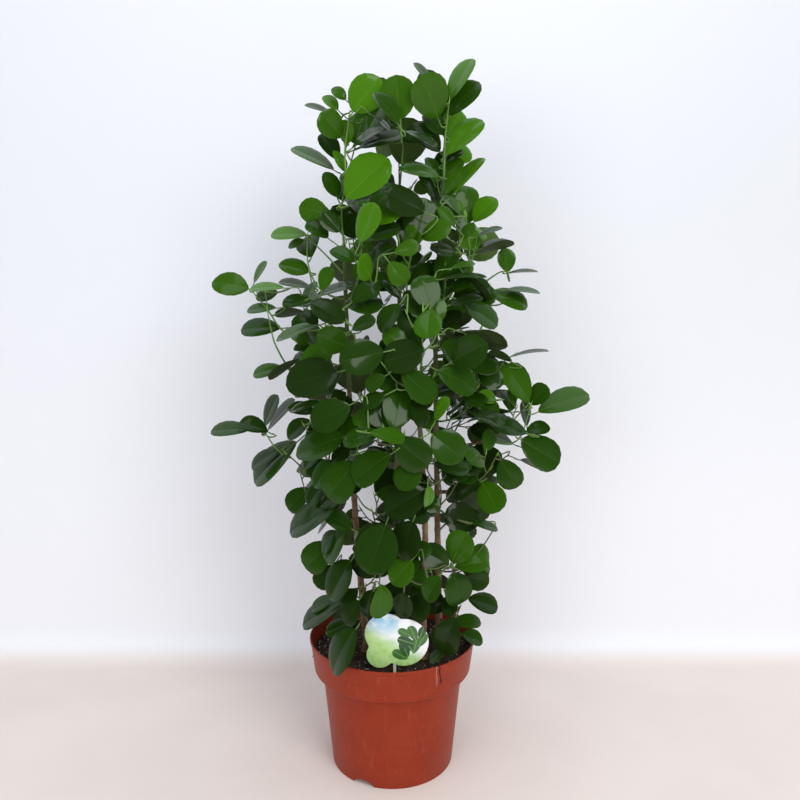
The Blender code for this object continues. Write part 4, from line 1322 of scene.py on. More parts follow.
# Single leaves: stalk end, tip, width as it shows (below zero from beneath), distance behind the crown's
# front in mm, and tone. A tone follows how light or dark the leaf shows, so it is partly painted light and
# shade, as on the deep leaves set back in the crown, as well as the leaf's own green.
LEADING_LEAVES = (
    # left leader
    (353, 112, 379, 77, 34, 0, "young"), (342, 137, 321, 114, 31, 0, "fresh"),
    (338, 110, 323, 96, 12, 0, "young"), (346, 100, 332, 88, 12, 8, "fresh"),
    (330, 113, 305, 104, 6, 4, "green"), (355, 118, 378, 102, 14, 10, "fresh"),
    (338, 160, 322, 133, 18, 16, "dark"), (334, 170, 292, 147, 13, 0, "fresh"),
    (345, 172, 335, 150, 12, 6, "young"), (337, 197, 325, 172, 16, 6, "green"),
    (346, 199, 388, 158, 38, 0, "young"), (352, 204, 397, 187, 16, 10, "fresh"),
    (352, 148, 386, 124, 8, 4, "green"), (360, 148, 402, 133, 14, 18, "dark"),
    (372, 115, 390, 130, 5, 12, "dark"),
    # middle leader
    (400, 120, 396, 75, 35, 0, "fresh"), (398, 124, 374, 92, 18, 8, "green"),
    (405, 131, 438, 146, 7, 8, "dark"), (402, 140, 432, 128, 20, 20, "dark"),
    (431, 85, 415, 62, 8, 0, "green"),
    # right leader
    (438, 118, 423, 77, 46, 0, "fresh"), (450, 100, 471, 58, 18, 0, "young"),
    (450, 116, 478, 81, 25, 6, "green"), (446, 155, 481, 119, 22, 0, "young"),
    (445, 135, 424, 113, 18, 10, "dark"), (440, 152, 410, 125, 22, 18, "dark"),
    (446, 162, 463, 150, 10, 10, "dark"), (449, 198, 483, 157, 13, 0, "young"),
    (444, 196, 463, 168, 16, 8, "fresh"), (440, 177, 400, 166, 13, 6, "fresh"),
    # below the leaders
    (425, 212, 383, 192, 26, 4, "deep"), (371, 214, 385, 193, 15, 0, "dark"),
    (474, 222, 496, 198, 20, 0, "young"), (455, 226, 439, 207, 12, 4, "fresh"),
    (462, 240, 474, 223, 10, 4, "fresh"), (456, 252, 430, 247, 10, 6, "deep"),
    (360, 242, 375, 203, 22, 0, "young"), (373, 222, 401, 207, 20, 0, "young"),
    (362, 240, 400, 226, 17, 4, "green"), (330, 215, 299, 207, 25, 0, "fresh"),
    (328, 238, 307, 222, 14, 10, "green"), (340, 232, 322, 212, 18, 14, "dark"),
    (395, 252, 419, 245, 15, 4, "fresh"), (389, 262, 406, 284, 20, 0, "fresh"),
    (452, 268, 475, 263, 6, 4, "fresh"), (443, 279, 487, 276, 5, 6, "dark"),
    (453, 292, 470, 278, 12, 4, "green"), (355, 262, 330, 250, 15, 6, "green"),
    # left arm, upper
    (249, 289, 212, 281, 25, 0, "fresh"), (254, 283, 266, 261, 7, 4, "fresh"),
    (284, 288, 250, 288, 9, 0, "young"), (278, 292, 256, 298, 11, 8, "green"),
    (276, 308, 247, 310, 10, 0, "fresh"), (281, 328, 241, 329, 18, 0, "green"),
    (319, 325, 276, 339, 10, 4, "fresh"), (307, 235, 271, 234, 13, 0, "young"),
    (304, 240, 288, 247, 9, 6, "fresh"), (309, 272, 279, 264, 16, 0, "fresh"),
    (311, 288, 279, 281, 9, 4, "green"), (312, 300, 282, 303, 13, 6, "dark"),
    (305, 312, 275, 315, -9, 8, "dark"), (318, 324, 301, 312, 12, 6, "deep"),
    (322, 291, 331, 267, 16, 0, "fresh"), (314, 297, 353, 284, 9, 4, "green"),
    (345, 322, 311, 303, 22, 0, "deep"), (347, 346, 317, 335, 27, 0, "green"),
    (332, 346, 303, 371, 25, 4, "fresh"), (283, 368, 253, 374, 13, 0, "fresh"),
    (300, 359, 269, 379, -8, 4, "dark"), (338, 372, 286, 385, 36, 0, "deep"),
    # right arm, upper
    (478, 236, 502, 227, 6, 0, "green"), (478, 248, 509, 240, 6, 4, "dark"),
    (476, 254, 514, 243, -8, 6, "dark"), (508, 272, 504, 248, 19, 0, "fresh"),
    (509, 273, 538, 271, 4, 4, "dark"), (506, 290, 540, 292, 6, 4, "fresh"),
    (489, 293, 528, 305, 18, 0, "fresh"), (498, 296, 481, 290, 7, 4, "green"),
    (466, 275, 490, 300, -7, 8, "dark"), (450, 305, 483, 297, 10, 4, "deep"),
    (461, 302, 498, 325, 20, 0, "green"), (462, 332, 501, 342, -9, 6, "dark"),
    # middle of the crown
    (433, 311, 420, 276, 24, 0, "green"), (430, 309, 427, 337, 31, 0, "fresh"),
    (400, 304, 380, 332, 20, 8, "dark"), (352, 330, 375, 318, 14, 6, "dark"),
    (452, 362, 486, 344, 36, 4, "dark"), (384, 352, 341, 361, 38, 0, "dark"),
    (425, 349, 384, 362, 32, 4, "deep"), (345, 363, 326, 399, 9, 0, "green"),
    (350, 405, 312, 426, 33, 2, "dark"), (322, 402, 290, 411, 8, 4, "green"),
    (402, 371, 435, 400, 26, 0, "green"), (470, 368, 499, 366, 16, 4, "dark"),
    (478, 370, 501, 386, 24, 8, "dark"), (437, 370, 476, 389, 26, 2, "green"),
    (489, 400, 465, 401, 13, 4, "green"), (385, 395, 362, 406, 17, 8, "dark"),
    (389, 430, 371, 403, 18, 2, "dark"), (393, 430, 402, 391, 26, 0, "green"),
    (435, 421, 448, 397, 12, 0, "young"), (412, 399, 425, 426, 17, 8, "deep"),
    (352, 302, 372, 286, 18, 6, "dark"), (462, 312, 440, 326, 16, 8, "deep"),
    # left arm, lower
    (250, 430, 211, 430, 15, 0, "green"), (268, 432, 240, 421, 17, 6, "dark"),
    (265, 426, 277, 395, 12, 0, "dark"), (268, 430, 294, 399, 9, 6, "dark"),
    (310, 420, 287, 438, 17, 4, "dark"), (344, 437, 296, 455, 26, 0, "green"),
    (280, 450, 251, 467, 14, 8, "dark"), (297, 442, 253, 481, 24, 0, "green"),
    (334, 461, 314, 487, 18, 2, "green"), (356, 463, 327, 498, 32, 0, "green"),
    (350, 448, 332, 462, 14, 10, "deep"), (391, 454, 353, 481, 31, 0, "green"),
    (381, 433, 343, 442, 18, 2, "green"), (370, 433, 405, 439, 15, 0, "fresh"),
    (385, 376, 366, 389, 14, 6, "green"), (309, 488, 288, 510, 21, 2, "green"),
    (324, 484, 307, 506, 15, 6, "dark"),
    # right arm, lower
    (529, 403, 505, 365, 25, 0, "fresh"), (531, 405, 546, 385, 20, 6, "green"),
    (538, 412, 588, 393, 24, 0, "fresh"), (527, 426, 523, 401, 10, 4, "dark"),
    (526, 432, 550, 427, 14, 4, "green"), (521, 440, 559, 463, 30, 0, "green"),
    (520, 460, 548, 470, 8, 6, "dark"), (501, 459, 516, 488, 26, 0, "green"),
    (527, 433, 490, 422, 18, 0, "dark"), (512, 412, 450, 417, 10, 6, "dark"),
    (513, 444, 471, 428, 16, 4, "dark"), (502, 454, 463, 470, 32, 2, "deep"),
    (531, 402, 562, 407, 3, 0, "fresh"), (513, 356, 549, 350, 4, 0, "dark"),
    (512, 362, 489, 351, -8, 2, "green"), (482, 482, 499, 511, 31, 0, "fresh"),
    (480, 482, 446, 499, 17, 4, "dark"),
    # lower half
    (432, 434, 463, 459, 28, 0, "green"), (434, 464, 469, 469, 18, 4, "dark"),
    (396, 440, 428, 466, 32, 2, "dark"), (418, 462, 399, 489, 27, 0, "green"),
    (426, 489, 386, 513, 37, 2, "deep"), (428, 486, 428, 507, 10, 0, "young"),
    (342, 501, 289, 531, 25, 0, "dark"), (352, 529, 322, 512, 18, 2, "green"),
    (335, 530, 321, 553, 13, 6, "dark"), (346, 531, 324, 561, 18, 0, "green"),
    (330, 544, 305, 569, 26, 2, "green"), (333, 566, 317, 587, 20, 6, "dark"),
    (351, 561, 329, 599, 24, 0, "dark"), (386, 524, 369, 573, 43, 0, "dark"),
    (413, 521, 401, 559, 28, 6, "deep"), (412, 560, 392, 584, 24, 0, "fresh"),
    (480, 521, 446, 516, 31, 2, "deep"), (472, 523, 498, 529, 9, 6, "green"),
    (452, 563, 466, 533, 27, 0, "fresh"), (455, 567, 487, 562, 21, 0, "fresh"),
    (453, 572, 461, 605, 25, 0, "green"), (440, 576, 426, 601, 20, -8, "green"),
    (449, 565, 420, 549, 24, 2, "dark"), (464, 575, 489, 583, 20, 6, "dark"),
    (468, 599, 498, 607, 19, 4, "dark"),
    # over the rim
    (380, 584, 381, 619, 21, -14, "fresh"), (373, 590, 362, 616, 15, 0, "dark"),
    (404, 592, 403, 618, 18, 2, "deep"), (426, 593, 415, 620, 20, 4, "deep"),
    (452, 622, 481, 622, 14, 0, "green"), (456, 617, 441, 653, 29, -4, "deep"),
    (461, 634, 483, 642, 14, 0, "green"), (446, 650, 428, 662, 12, 0, "green"),
    (346, 600, 302, 624, 20, 0, "dark"), (336, 597, 311, 609, 12, 4, "green"),
    (358, 590, 340, 606, 17, 6, "deep"), (356, 620, 326, 633, 16, 4, "green"),
    (356, 629, 330, 672, 28, -6, "dark"), (359, 600, 345, 624, 18, 6, "deep"),
    (398, 580, 388, 606, 24, 46, "deep"), (414, 584, 425, 608, 24, 50, "dark"),
    (432, 588, 436, 614, 22, 44, "deep"), (446, 596, 452, 616, 20, 40, "dark"),
    (384, 592, 398, 612, 20, 60, "deep"), (340, 612, 352, 632, 18, 40, "deep"),
)
# Stalk ends of the leading leaves that catch the key light. The others turn a little out of its glare.
SHINING = {(433, 311), (393, 430), (389, 430)}


def seen_at(column, row, depth):
    """The point at a depth behind the pot's axis that shows at a place in the camera's view."""
    aside, up = (column - VIEW_SIZE / 2) / LENS_PIXELS, (VIEW_SIZE / 2 - row) / LENS_PIXELS
    ray = CAMERA_TURN @ Vector((aside, up, -1))
    return Vector(CAMERA_PLACE) + ray * ((depth - CAMERA_PLACE[1]) / ray.y)


def place_in_view(point):
    """The column and row where a point shows."""
    off = CAMERA_TURN.transposed() @ (point - Vector(CAMERA_PLACE))
    return VIEW_SIZE / 2 - LENS_PIXELS * off.x / off.z, VIEW_SIZE / 2 + LENS_PIXELS * off.y / off.z


def front_of_crown(column, row):
    """How deep the crown's rounded front lies at a place in the camera's view."""
    point = seen_at(column, row, CROWN_AXIS.y)
    reach = graded(CROWN_REACH, point.z)
    aside = min(1.0, abs(point.x - CROWN_AXIS.x) / reach)
    return CROWN_AXIS.y - FRONT_GAP - graded(CROWN_BULGE, point.z) * reach * math.sqrt(1 - aside**2)


def leading_leaf(stalk_end, tip, width, depth):
    """A leaf's stalk end, the ways it points and faces, and its length, so that it shows with that width
    between those two places. A shining leaf mirrors the key light into the camera."""
    camera = Vector(CAMERA_PLACE)
    start, end = seen_at(*stalk_end, depth), seen_at(*tip, depth)
    to_camera = (camera - start).normalized()
    to_key = (Vector(SOFT_LIGHTS["key"][0]) - start).normalized()
    mirroring = (to_camera + to_key).normalized()
    if stalk_end in SHINING:
        ray = end - camera
        end = camera + ray * (start - camera).dot(mirroring) / ray.dot(mirroring)
        return start, (end - start).normalized(), mirroring, (end - start).length
    shown = math.dist(stalk_end, tip)
    share = abs(width) / (BLADE_SHARE * shown)
    if share > 1:
        end += to_camera * (end - start).length * math.sqrt(share**2 - 1) * TOWARDS_CAMERA
    roll = max(math.radians(SKYWARD_TILT), math.acos(min(1.0, share)))
    along = (end - start).normalized()
    facing = (to_camera - along * to_camera.dot(along)).normalized()
    skyward = along.cross(facing)
    skyward *= math.copysign(1, skyward.z)
    for turn in (roll, roll - math.radians(GLARE_ANGLE) * GLARE_TURN):
        normal = facing * math.copysign(math.cos(turn), width) + skyward * math.sin(turn)
        if normal.angle(mirroring) > math.radians(GLARE_ANGLE):
            break
    return start, along, normal, (end - start).length


def add_wood(route, twig=None):
    """Adds places every few millimetres along a route, each with its twig and distance along it."""
    length = route_length(route)
    count = max(2, int(length / WOOD_STEP))
    for i in range(1, count + 1):
        wood.append((walk(route, length * i / count)[0], twig, length * i / count))


def joint_near(point):
    """The closest place on the wood so far, with a liking for wood that lies lower."""
    place, twig, distance = min(
        wood, key=lambda part: (part[0] - point).length + max(0.0, part[0].z - point.z) * LOWER_LIKING
    )
    if twig:
        reached[twig] = max(reached.get(twig, 0.0), distance)
    return place


def grown_part(name, number):
    """A twig as far as its outermost leaf or side twig, or nothing where it bears none."""
    twig, *others = sprays[name][number:]
    length = route_length(twig)
    far = reached.get((name, number), 0.0)
    if number == 0:
        borne = [other for k, other in enumerate(others, 1) if (name, k) in reached]
        far = max([far, *((other[0] - twig[0]).length for other in borne)])
    if far < SHORTEST_TWIG:
        return None
    return twig if far > WHOLE_TWIG * length else part_of(twig, 0.0, far / length, SHOOT_STEPS)


def in_the_crown(leaf):
    """True where a leaf lies inside the crown's edge, behind its front and clear of its windows."""
    _, stalk_end, along, _, length = leaf
    heart = stalk_end + along * length / 2
    column, row = place_in_view(heart)
    if heart.y < front_of_crown(column, row):
        return False
    left = graded([(edge[0], edge[1]) for edge in CROWN_EDGE], row)
    right = graded([(edge[0], edge[2]) for edge in CROWN_EDGE], row)
    if not left < column < right or row < CROWN_EDGE[0][0]:
        return False
    return all(math.dist((column, row), window[:2]) > window[2] + WINDOW_MARGIN for window in WINDOWS)


def fits(leaf, shape, spray):
    """True where a leaf that grows by rule lies in the crown and runs through nothing."""
    return in_the_crown(leaf) and in_open_air(shape[0]) and room.is_free(shape, {spray})


def leaf_places(route):
    """Distances along a twig where leaves sit, closing up towards its tip."""
    length = route_length(route)
    back, step = 0.0, LEAF_SPACING * TIP_SPACING
    while back < length - LEAF_SPACING * ROOT_SPACING:
        yield length - back
        back += step
        step = min(LEAF_SPACING, step * SPACING_GROWTH)


def leaf_at(node, ahead, spin, size, draw):
    """A leaf's root, the end of its stalk, the way its blade points, the way it faces, and its length."""
    side = Matrix.Rotation(math.radians(spin), 3, ahead) @ ahead.orthogonal().normalized()
    opening = math.radians(LEAF_OPENING)
    stalk = ahead * math.cos(opening) + side * math.sin(opening)
    outward = ((node - CROWN_AXIS) * Vector((1, 1, 0))).normalized()
    lift = graded(LEAF_LIFT, node.z) + draw.uniform(-LIFT_SPREAD, LIFT_SPREAD)
    along = (stalk + outward * POINTING_OUT + Vector((0, 0, lift))).normalized()
    sky = graded(LEAF_SKY, node.z)
    front = Vector((0, math.copysign(graded(LEAF_FRONT, node.z), node.y - FRONT_DEPTH), 0))
    scatter = Vector([draw.uniform(-FACING_SPREAD, FACING_SPREAD) for _ in range(3)])
    faces = outward * FACING_OUT + front + Vector((0, 0, sky)) + scatter
    normal = (faces - along * faces.dot(along)).normalized()
    stalk_end = node + stalk * LEAF_STALK * size
    return node - stalk * ROOT_SUNK, stalk_end, along, normal, LEAF_LENGTH * size


def guard(leaf):
    """The thin lens of room that a leaf keeps to itself."""
    root, stalk_end, along, normal, length = leaf
    across = normal.cross(along)
    width = length * LEAF_WIDTH_SHARE
    rim = [stalk_end + along * length * a + across * width * w for a, w in GUARD_OUTLINE]
    crown = stalk_end + along * length * THICKEST
    verts = [root + normal * GUARD_ROOT, root - normal * GUARD_ROOT, *rim]
    verts += [crown + normal * GUARD_THICKNESS / 2, crown - normal * GUARD_THICKNESS / 2]
    top, under = len(verts) - 2, len(verts) - 1
    first, last = 2, len(rim) + 1
    faces = [(0, first, 1), (0, 1, last), (0, top, first)]
    faces += [(1, first, under), (top, 0, last), (under, last, 1)]
    for i in range(first, last):
        faces.append((i, top, i + 1))
        faces.append((i + 1, under, i))
    return verts, [tuple(reversed(face)) for face in faces]


leaves = []  # (place from the twig's tip, leaf, tone)
leading_twigs = []  # the branchlets first, then each leading leaf's own twig
calm = []  # stalk ends of the leading leaves that shine or show their edge, whose blades don't twist
reached = {}  # how far along each twig its outermost leaf or fine twig sits
wood = []  # (place, twig, distance along it) all over the wood that a leaf may join
for route, _ in limbs.values():
    add_wood(route)
for name, twigs in sprays.items():
    for number, twig in enumerate(twigs):
        add_wood(twig, (name, number))
for behind, places in BRANCHLETS:
    route = [seen_at(*place, front_of_crown(*places[-1]) + behind / 1000) for place in places]
    route = [joint_near(route[0]), *route]
    leading_twigs.append(route)
    add_wood(route)
    room.add("leading_twig", tube(route, [TWIG_GUARD] * len(route), GUARD_SIDES))
for column, row, tip_column, tip_row, width, behind, tone in LEADING_LEAVES:
    stalk_place, tip_place = (column, row), (tip_column, tip_row)
    for further in DEPTH_TRIES:
        depth = front_of_crown(column, row) + (behind + further) / 1000
        start, along, normal, length = leading_leaf(stalk_place, tip_place, width, depth)
        root = start - along * LEADING_STALK
        leaf = (root, start, along, normal, length)
        shape = guard(leaf)
        if in_open_air(shape[0], LABEL_SKIN) and room.is_free(shape, {"leading_twig"}):
            break
    else:
        continue
    leaves.append((FULL_GROWN, leaf, tone))
    if stalk_place in SHINING or abs(width) < EDGE_ON * math.dist(stalk_place, tip_place):
        calm.append(start)
    room.add("leading_leaf", shape)
    joint = joint_near(root)
    sag = Vector((0, 0, -LEADING_SAG * (root - joint).length))
    bend = root - along * (root - joint).length * LEADING_BEND
    route = [joint, (joint + bend) / 2 + sag, bend, root + along * LEADING_OVERLAP]
    leading_twigs.append(route)
    add_wood(route)
    room.add("leading_twig", tube(route, [FINE_RADIUS] * len(route), GUARD_SIDES))

for name, twigs in sprays.items():
    draw = random.Random(f"{name} {SEED}")
    for number, twig in enumerate(twigs):
        spin = draw.uniform(0, 360)
        for place, distance in enumerate(leaf_places(twig)):
            node, ahead = walk(twig, distance)
            spin += GOLDEN_TURN + draw.uniform(-SPIN_SPREAD, SPIN_SPREAD)
            size = graded(LEAF_SIZE, node.z) * draw.uniform(*SIZE_SPREAD) * YOUNG_LEAVES.get(place, 1.0)
            state = draw.getstate()
            for aside, shrink in LEAF_TRIES:
                draw.setstate(state)
                leaf = leaf_at(node, ahead, spin + aside, size * shrink, draw)
                shape = guard(leaf)
                if fits(leaf, shape, name):
                    leaves.append((place, leaf, None))
                    reached[name, number] = max(reached.get((name, number), 0.0), distance)
                    room.add(name + "_leaf", shape)
                    break


def fine_leaves(twig, spin, size, spray, owner):
    """The leaves that find room on a finer twig. They take that room under the owner's name."""
    grown = []
    for place, (share, growth) in enumerate(FINE_PLACES):
        node, ahead = walk(twig, route_length(twig) * share * JUST_SHORT)
        spin += GOLDEN_TURN
        for aside in FINE_TURNS:
            leaf = leaf_at(node, ahead, spin + aside, size * growth, draw)
            shape = guard(leaf)
            if fits(leaf, shape, spray):
                grown.append((place, leaf, None))
                room.add(owner, shape)
                break
    return grown


fine_twigs = []
for name, twigs in sprays.items():
    draw = random.Random(f"{name} fine")
    for number, twig in enumerate(twigs):
        length = route_length(twig)
        for attempt in range(int(length / FINE_SPACING) * FINE_TRIES):
            distance = length * draw.uniform(*FINE_STRETCH)
            start, ahead = walk(twig, distance)
            side = Matrix.Rotation(draw.uniform(0, 2 * math.pi), 3, ahead) @ ahead.orthogonal().normalized()
            way = (side + ahead * FINE_WAY[0] + Vector((0, 0, FINE_WAY[1]))).normalized()
            reach = draw.uniform(*FINE_LENGTH)
            size = draw.uniform(*FINE_LEAF)
            spin = draw.uniform(0, 360)
            tip = start + (way + ahead * FINE_CURL).normalized() * reach
            fine = [start, start + way * reach * 0.5, tip]
            shape = tube(fine, [FINE_RADIUS * FINE_GUARD] * len(fine), GUARD_SIDES)
            if not (in_open_air(fine) and room.is_free(shape, {name})):
                continue
            grown = fine_leaves(fine, spin, size, name, f"{name}_fine_{number}_{attempt}")
            if len(grown) < FINE_LEAST:
                room.forget(len(grown))
                continue
            room.add(name, shape)
            reached[name, number] = max(reached.get((name, number), 0.0), distance)
            fine_twigs.append(fine)
            leaves += grown

# The twigs and stalks as they show.
TWIG_STEP = 0.0035
TWIG_SIDES = 7
TWIG_RELIEF = 0.0002
TWIG_END = 0.8
SIDE_TWIG_RADIUS = 0.8
JOINT_SPACING = 8.5
LEADING_RISE = 0.08
STALK_RADIUS = 0.00082
STALK_TAPER = (1.25, 1.05, 0.95, 0.92, 0.92, 0.85, 0.5)
STALK_STEP = 0.003
STALK_SIDES = 6
STALK_BEND = 0.6
STALK_DROOP = 0.0006
UNDER_BLADE = (0.10, 0.0003)  # how far the stalk runs on beneath the blade, and how deep
TWIG_FINISHES = {
    # name: (lowest height, colour)
    "twigs_brown": (0.0, (0.085, 0.050, 0.026)),
    "twigs_olive": (0.34, (0.090, 0.115, 0.032)),
    "twigs_green": (0.50, (0.115, 0.225, 0.042)),
}
stalk_green, flow = finish("stalk_green", (0.085, 0.175, 0.032), 0.5)
feed(stalk_green, Normal=relief(flow, cloudy(flow, 900.0, 1.0), 0.0002))
twig_lines = {name: [] for name in TWIG_FINISHES}


def add_twig(route, radius, height):
    """Draws a twig out in the finish for its height, a little swollen at each joint."""
    kind = [n for n, (low, _) in TWIG_FINISHES.items() if height >= low][-1]
    radii = tapered(route, radius, TWIG_TIP_RADIUS * TWIG_END)
    twig_lines[kind].append(knuckled(route, radii, radius * JOINT_SPACING))


bud_twigs = []
for name, twigs in sprays.items():
    for number in range(len(twigs)):
        twig = grown_part(name, number)
        if twig:
            route = smooth_route(twig if number else [roots[name], *twig], 2)
            add_twig(route, TWIG_RADIUS * (SIDE_TWIG_RADIUS if number else 1.0), twigs[0][-1].z)
            bud_twigs.append(twig)
for fine in fine_twigs:
    add_twig(smooth_route(fine, 2), FINE_RADIUS, fine[0].z)
    bud_twigs.append(fine)
for number, route in enumerate(leading_twigs):
    radius = LEADING_TWIG if number < len(BRANCHLETS) else FINE_RADIUS
    add_twig(smooth_route(route, 3), radius, route[-1].z + LEADING_RISE)
foliage = [n for n in frame["nodes"] if n.startswith("foliage_")]
for name, (_, tint) in TWIG_FINISHES.items():
    skin, flow = finish(name, tint, 0.65)
    feed(skin, Normal=relief(flow, cloudy(flow, 500.0, 2.0), 0.0004))
    twig_piece = wood_from_curves(name, twig_lines[name], TWIG_STEP, TWIG_SIDES, TWIG_RELIEF, skin)
    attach(twig_piece, "root")
    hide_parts(*foliage)

stalk_lines = []
for _, (root, stalk_end, along, normal, length), _ in leaves:
    middle = root + (stalk_end - root) * STALK_BEND - normal * STALK_DROOP
    under = stalk_end + along * length * UNDER_BLADE[0] - normal * UNDER_BLADE[1]
    route = smooth_route([root, middle, stalk_end, under], 2)
    stalk_lines.append((route, [STALK_RADIUS * share for share in STALK_TAPER]))
stalks = wood_from_curves("leaf_stalks", stalk_lines, STALK_STEP, STALK_SIDES, 0.0, stalk_green)
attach(stalks, "root")
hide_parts(*foliage)

# ---------------------------------------------------------------- leaves
# Leathery obovate blades with a fine pale midrib, glossy above and dull grey-green beneath. A few blade
# forms are copied to every leaf's place by a recipe, in five greens that go by the leaf's age and place
# where it has no tone of its own. The greens are partly painted light: the darker ones also stand for the
# shade on low, inner leaves, and the bright young green for light shining through the top leaves.

BLADE_ROWS = 8
SAME_FACE = 0.4
BLADE_BREAK = 0.55
BLADE_THICKNESS = 0.014
KEEL_DEPTH = 0.9
RIB_HALF_WIDTH = (0.012, 0.003)
WIDEST_RIB = 0.4
TIP_DRAW = 1.010
WAVES = 7.5
WAVE_SHIFT = 2.0
ARCH_SPAN = 0.8
ARCH_HEIGHT = 0.55
TWIST_START = 0.3
BLADE_FORMS = (
    # width share, base and tip fullness, fold in degrees, dome, arch, twist in degrees, wave
    (0.82, 0.70, 0.42, 6.0, 0.075, 0.05, 0.0, 0.00),
    (0.87, 0.62, 0.52, 8.0, 0.065, 0.02, 5.0, 0.03),
    (0.78, 0.76, 0.44, 11.0, 0.070, 0.09, -6.0, 0.02),
    (0.85, 0.62, 0.42, 3.0, 0.085, -0.03, 0.0, 0.04),
    (0.80, 0.74, 0.56, 14.0, 0.065, 0.07, 8.0, 0.00),
    (0.87, 0.60, 0.41, 7.0, 0.080, 0.12, -10.0, 0.03),
    (0.80, 0.74, 0.54, 5.0, 0.075, 0.10, 12.0, 0.04),
)
TONES = {
    # name: (least age and painted light, upper face, midrib, underside)
    "deep": (-9.0, (0.0100, 0.0270, 0.0026), (0.0135, 0.0340, 0.0050), (0.030, 0.050, 0.014)),
    "dark": (0.10, (0.0122, 0.0390, 0.0024), (0.0185, 0.0510, 0.0050), (0.035, 0.065, 0.014)),
    "green": (0.36, (0.0165, 0.0560, 0.0022), (0.0280, 0.0810, 0.0054), (0.043, 0.084, 0.014)),
    "fresh": (0.62, (0.0290, 0.0960, 0.0026), (0.0480, 0.1350, 0.0070), (0.058, 0.120, 0.014)),
    "young": (0.88, (0.0545, 0.1700, 0.0042), (0.0740, 0.2000, 0.0090), (0.084, 0.172, 0.018)),
}
AGE_HEIGHTS = (0.20, 0.82)
AGE_AND_PAINTED_LIGHT_BY_HEIGHT = 0.62
AGE_CURVE = 1.6
AGE_AND_PAINTED_SHADE_BY_REACH = 0.26
AGE_START = 0.12
AGE_SPREAD = 0.2
YOUNG_TIPS = {0: 0.30, 1: 0.16}  # by place from the twig's tip
SMALL_LEAF = (0.036, 0.12)  # (length, how much younger)


def blade_form(name, width, base, tip, fold, dome, arch, twist, wave):
    """A leaf blade one unit long, its stalk end at the origin, pointing along X and facing +Z."""
    peak = base / (base + tip)
    most = peak**base * (1 - peak) ** tip

    def surface(u, v, lift):
        half = width / 2 * u**base * (1 - u) ** tip / most if 0 < u < 1 else 0.0
        aside = abs(v)
        z = half * aside * math.tan(math.radians(fold)) + dome * half * 4 * aside * (1 - aside)
        z += wave * half * aside**2 * math.sin(WAVES * u + (WAVE_SHIFT if v > 0 else 0.0))
        z += arch * (math.sin(math.pi * u * ARCH_SPAN) * ARCH_HEIGHT - u * u)
        turn = math.radians(twist) * (u - TWIST_START)
        y = half * v
        return (u, y * math.cos(turn) - z * math.sin(turn), y * math.sin(turn) + z * math.cos(turn) + lift)

    verts = [surface(0.0, 0.0, 0.0), (TIP_DRAW, *surface(0.9999, 0.0, 0.0)[1:])]
    for row in range(1, BLADE_ROWS):
        u = (1 - math.cos(math.pi * row / BLADE_ROWS)) / 2
        half = width / 2 * u**base * (1 - u) ** tip / most
        rib = (RIB_HALF_WIDTH[0] + (RIB_HALF_WIDTH[1] - RIB_HALF_WIDTH[0]) * u) / half
        rib = min(rib, WIDEST_RIB)
        for v in (-1.0, -BLADE_BREAK, -rib, rib, BLADE_BREAK, 1.0):
            verts.append(surface(u, v, 0.0 if abs(v) == 1.0 else BLADE_THICKNESS / 2))
        verts.append(surface(u, 0.0, -BLADE_THICKNESS * KEEL_DEPTH))
    faces, parts = [], []
    kinds = (0, 0, 1, 0, 0, 2, 2)  # 0 above, 1 on the midrib and 2 beneath
    last = 2 + (BLADE_ROWS - 2) * 7
    for a, kind in enumerate(kinds):
        b = (a + 1) % 7
        faces.append((0, 2 + b, 2 + a)[::-1])
        parts.append(kind)
        for row in range(BLADE_ROWS - 2):
            first = 2 + row * 7
            faces.append((first + a, first + b, first + b + 7, first + a + 7)[::-1])
            parts.append(kind)
        faces.append((last + a, last + b, 1)[::-1])
        parts.append(kind)
    mesh = bpy.data.meshes.new(name)
    mesh.from_pydata(verts, [], faces)
    mesh.polygons.foreach_set("use_smooth", [True] * len(faces))
    mesh.attributes.new("face_part", "INT", "FACE").data.foreach_set("value", parts)
    rim = {0, 1} | {2 + row * 7 + column for row in range(BLADE_ROWS - 1) for column in (0, 5)}
    for edge in mesh.edges:
        a, b = edge.vertices
        edge.use_edge_sharp = a in rim and b in rim and (abs(a - b) == 7 or min(a, b) < 2)
    return mesh


def age_and_painted_light_of(place, leaf, draw):
    """From the oldest, deepest green leaves at 0 to the youngest at 1. Height and reach from the axis count
    both as age and as painted light, so low, inner leaves take the darker greens of shade.
    """
    _, stalk_end, along, _, length = leaf
    heart = stalk_end + along * length / 2
    foot, top = AGE_HEIGHTS
    height = (heart.z - foot) / (top - foot)
    outer = math.hypot(heart.x - CROWN_AXIS.x, heart.y - CROWN_AXIS.y) / graded(CROWN_REACH, heart.z)
    young = YOUNG_TIPS.get(place, 0.0) + (SMALL_LEAF[1] if length < SMALL_LEAF[0] else 0.0)
    old = AGE_AND_PAINTED_LIGHT_BY_HEIGHT * max(0.0, height) ** AGE_CURVE + AGE_AND_PAINTED_SHADE_BY_REACH * outer - AGE_START
    return old + young + draw.uniform(-AGE_SPREAD, AGE_SPREAD)


def stored(flow, name, kind):
    """A value kept on the mesh under a name."""
    return flow.node("GeometryNodeInputNamedAttribute", {"data_type": kind}, {"Name": name})


blades = new_library("blades", [blade_form(f"blade_{n}", *form) for n, form in enumerate(BLADE_FORMS)])
draw = random.Random(7)
dealt = {name: [] for name in TONES}
for place, leaf, tone in leaves:
    age = age_and_painted_light_of(place, leaf, draw)
    tone = tone or [n for n, (least, *_) in TONES.items() if age >= least][-1]
    form = draw.randrange(len(BLADE_FORMS))
    dealt[tone].append((leaf, 0 if leaf[1] in calm else form))

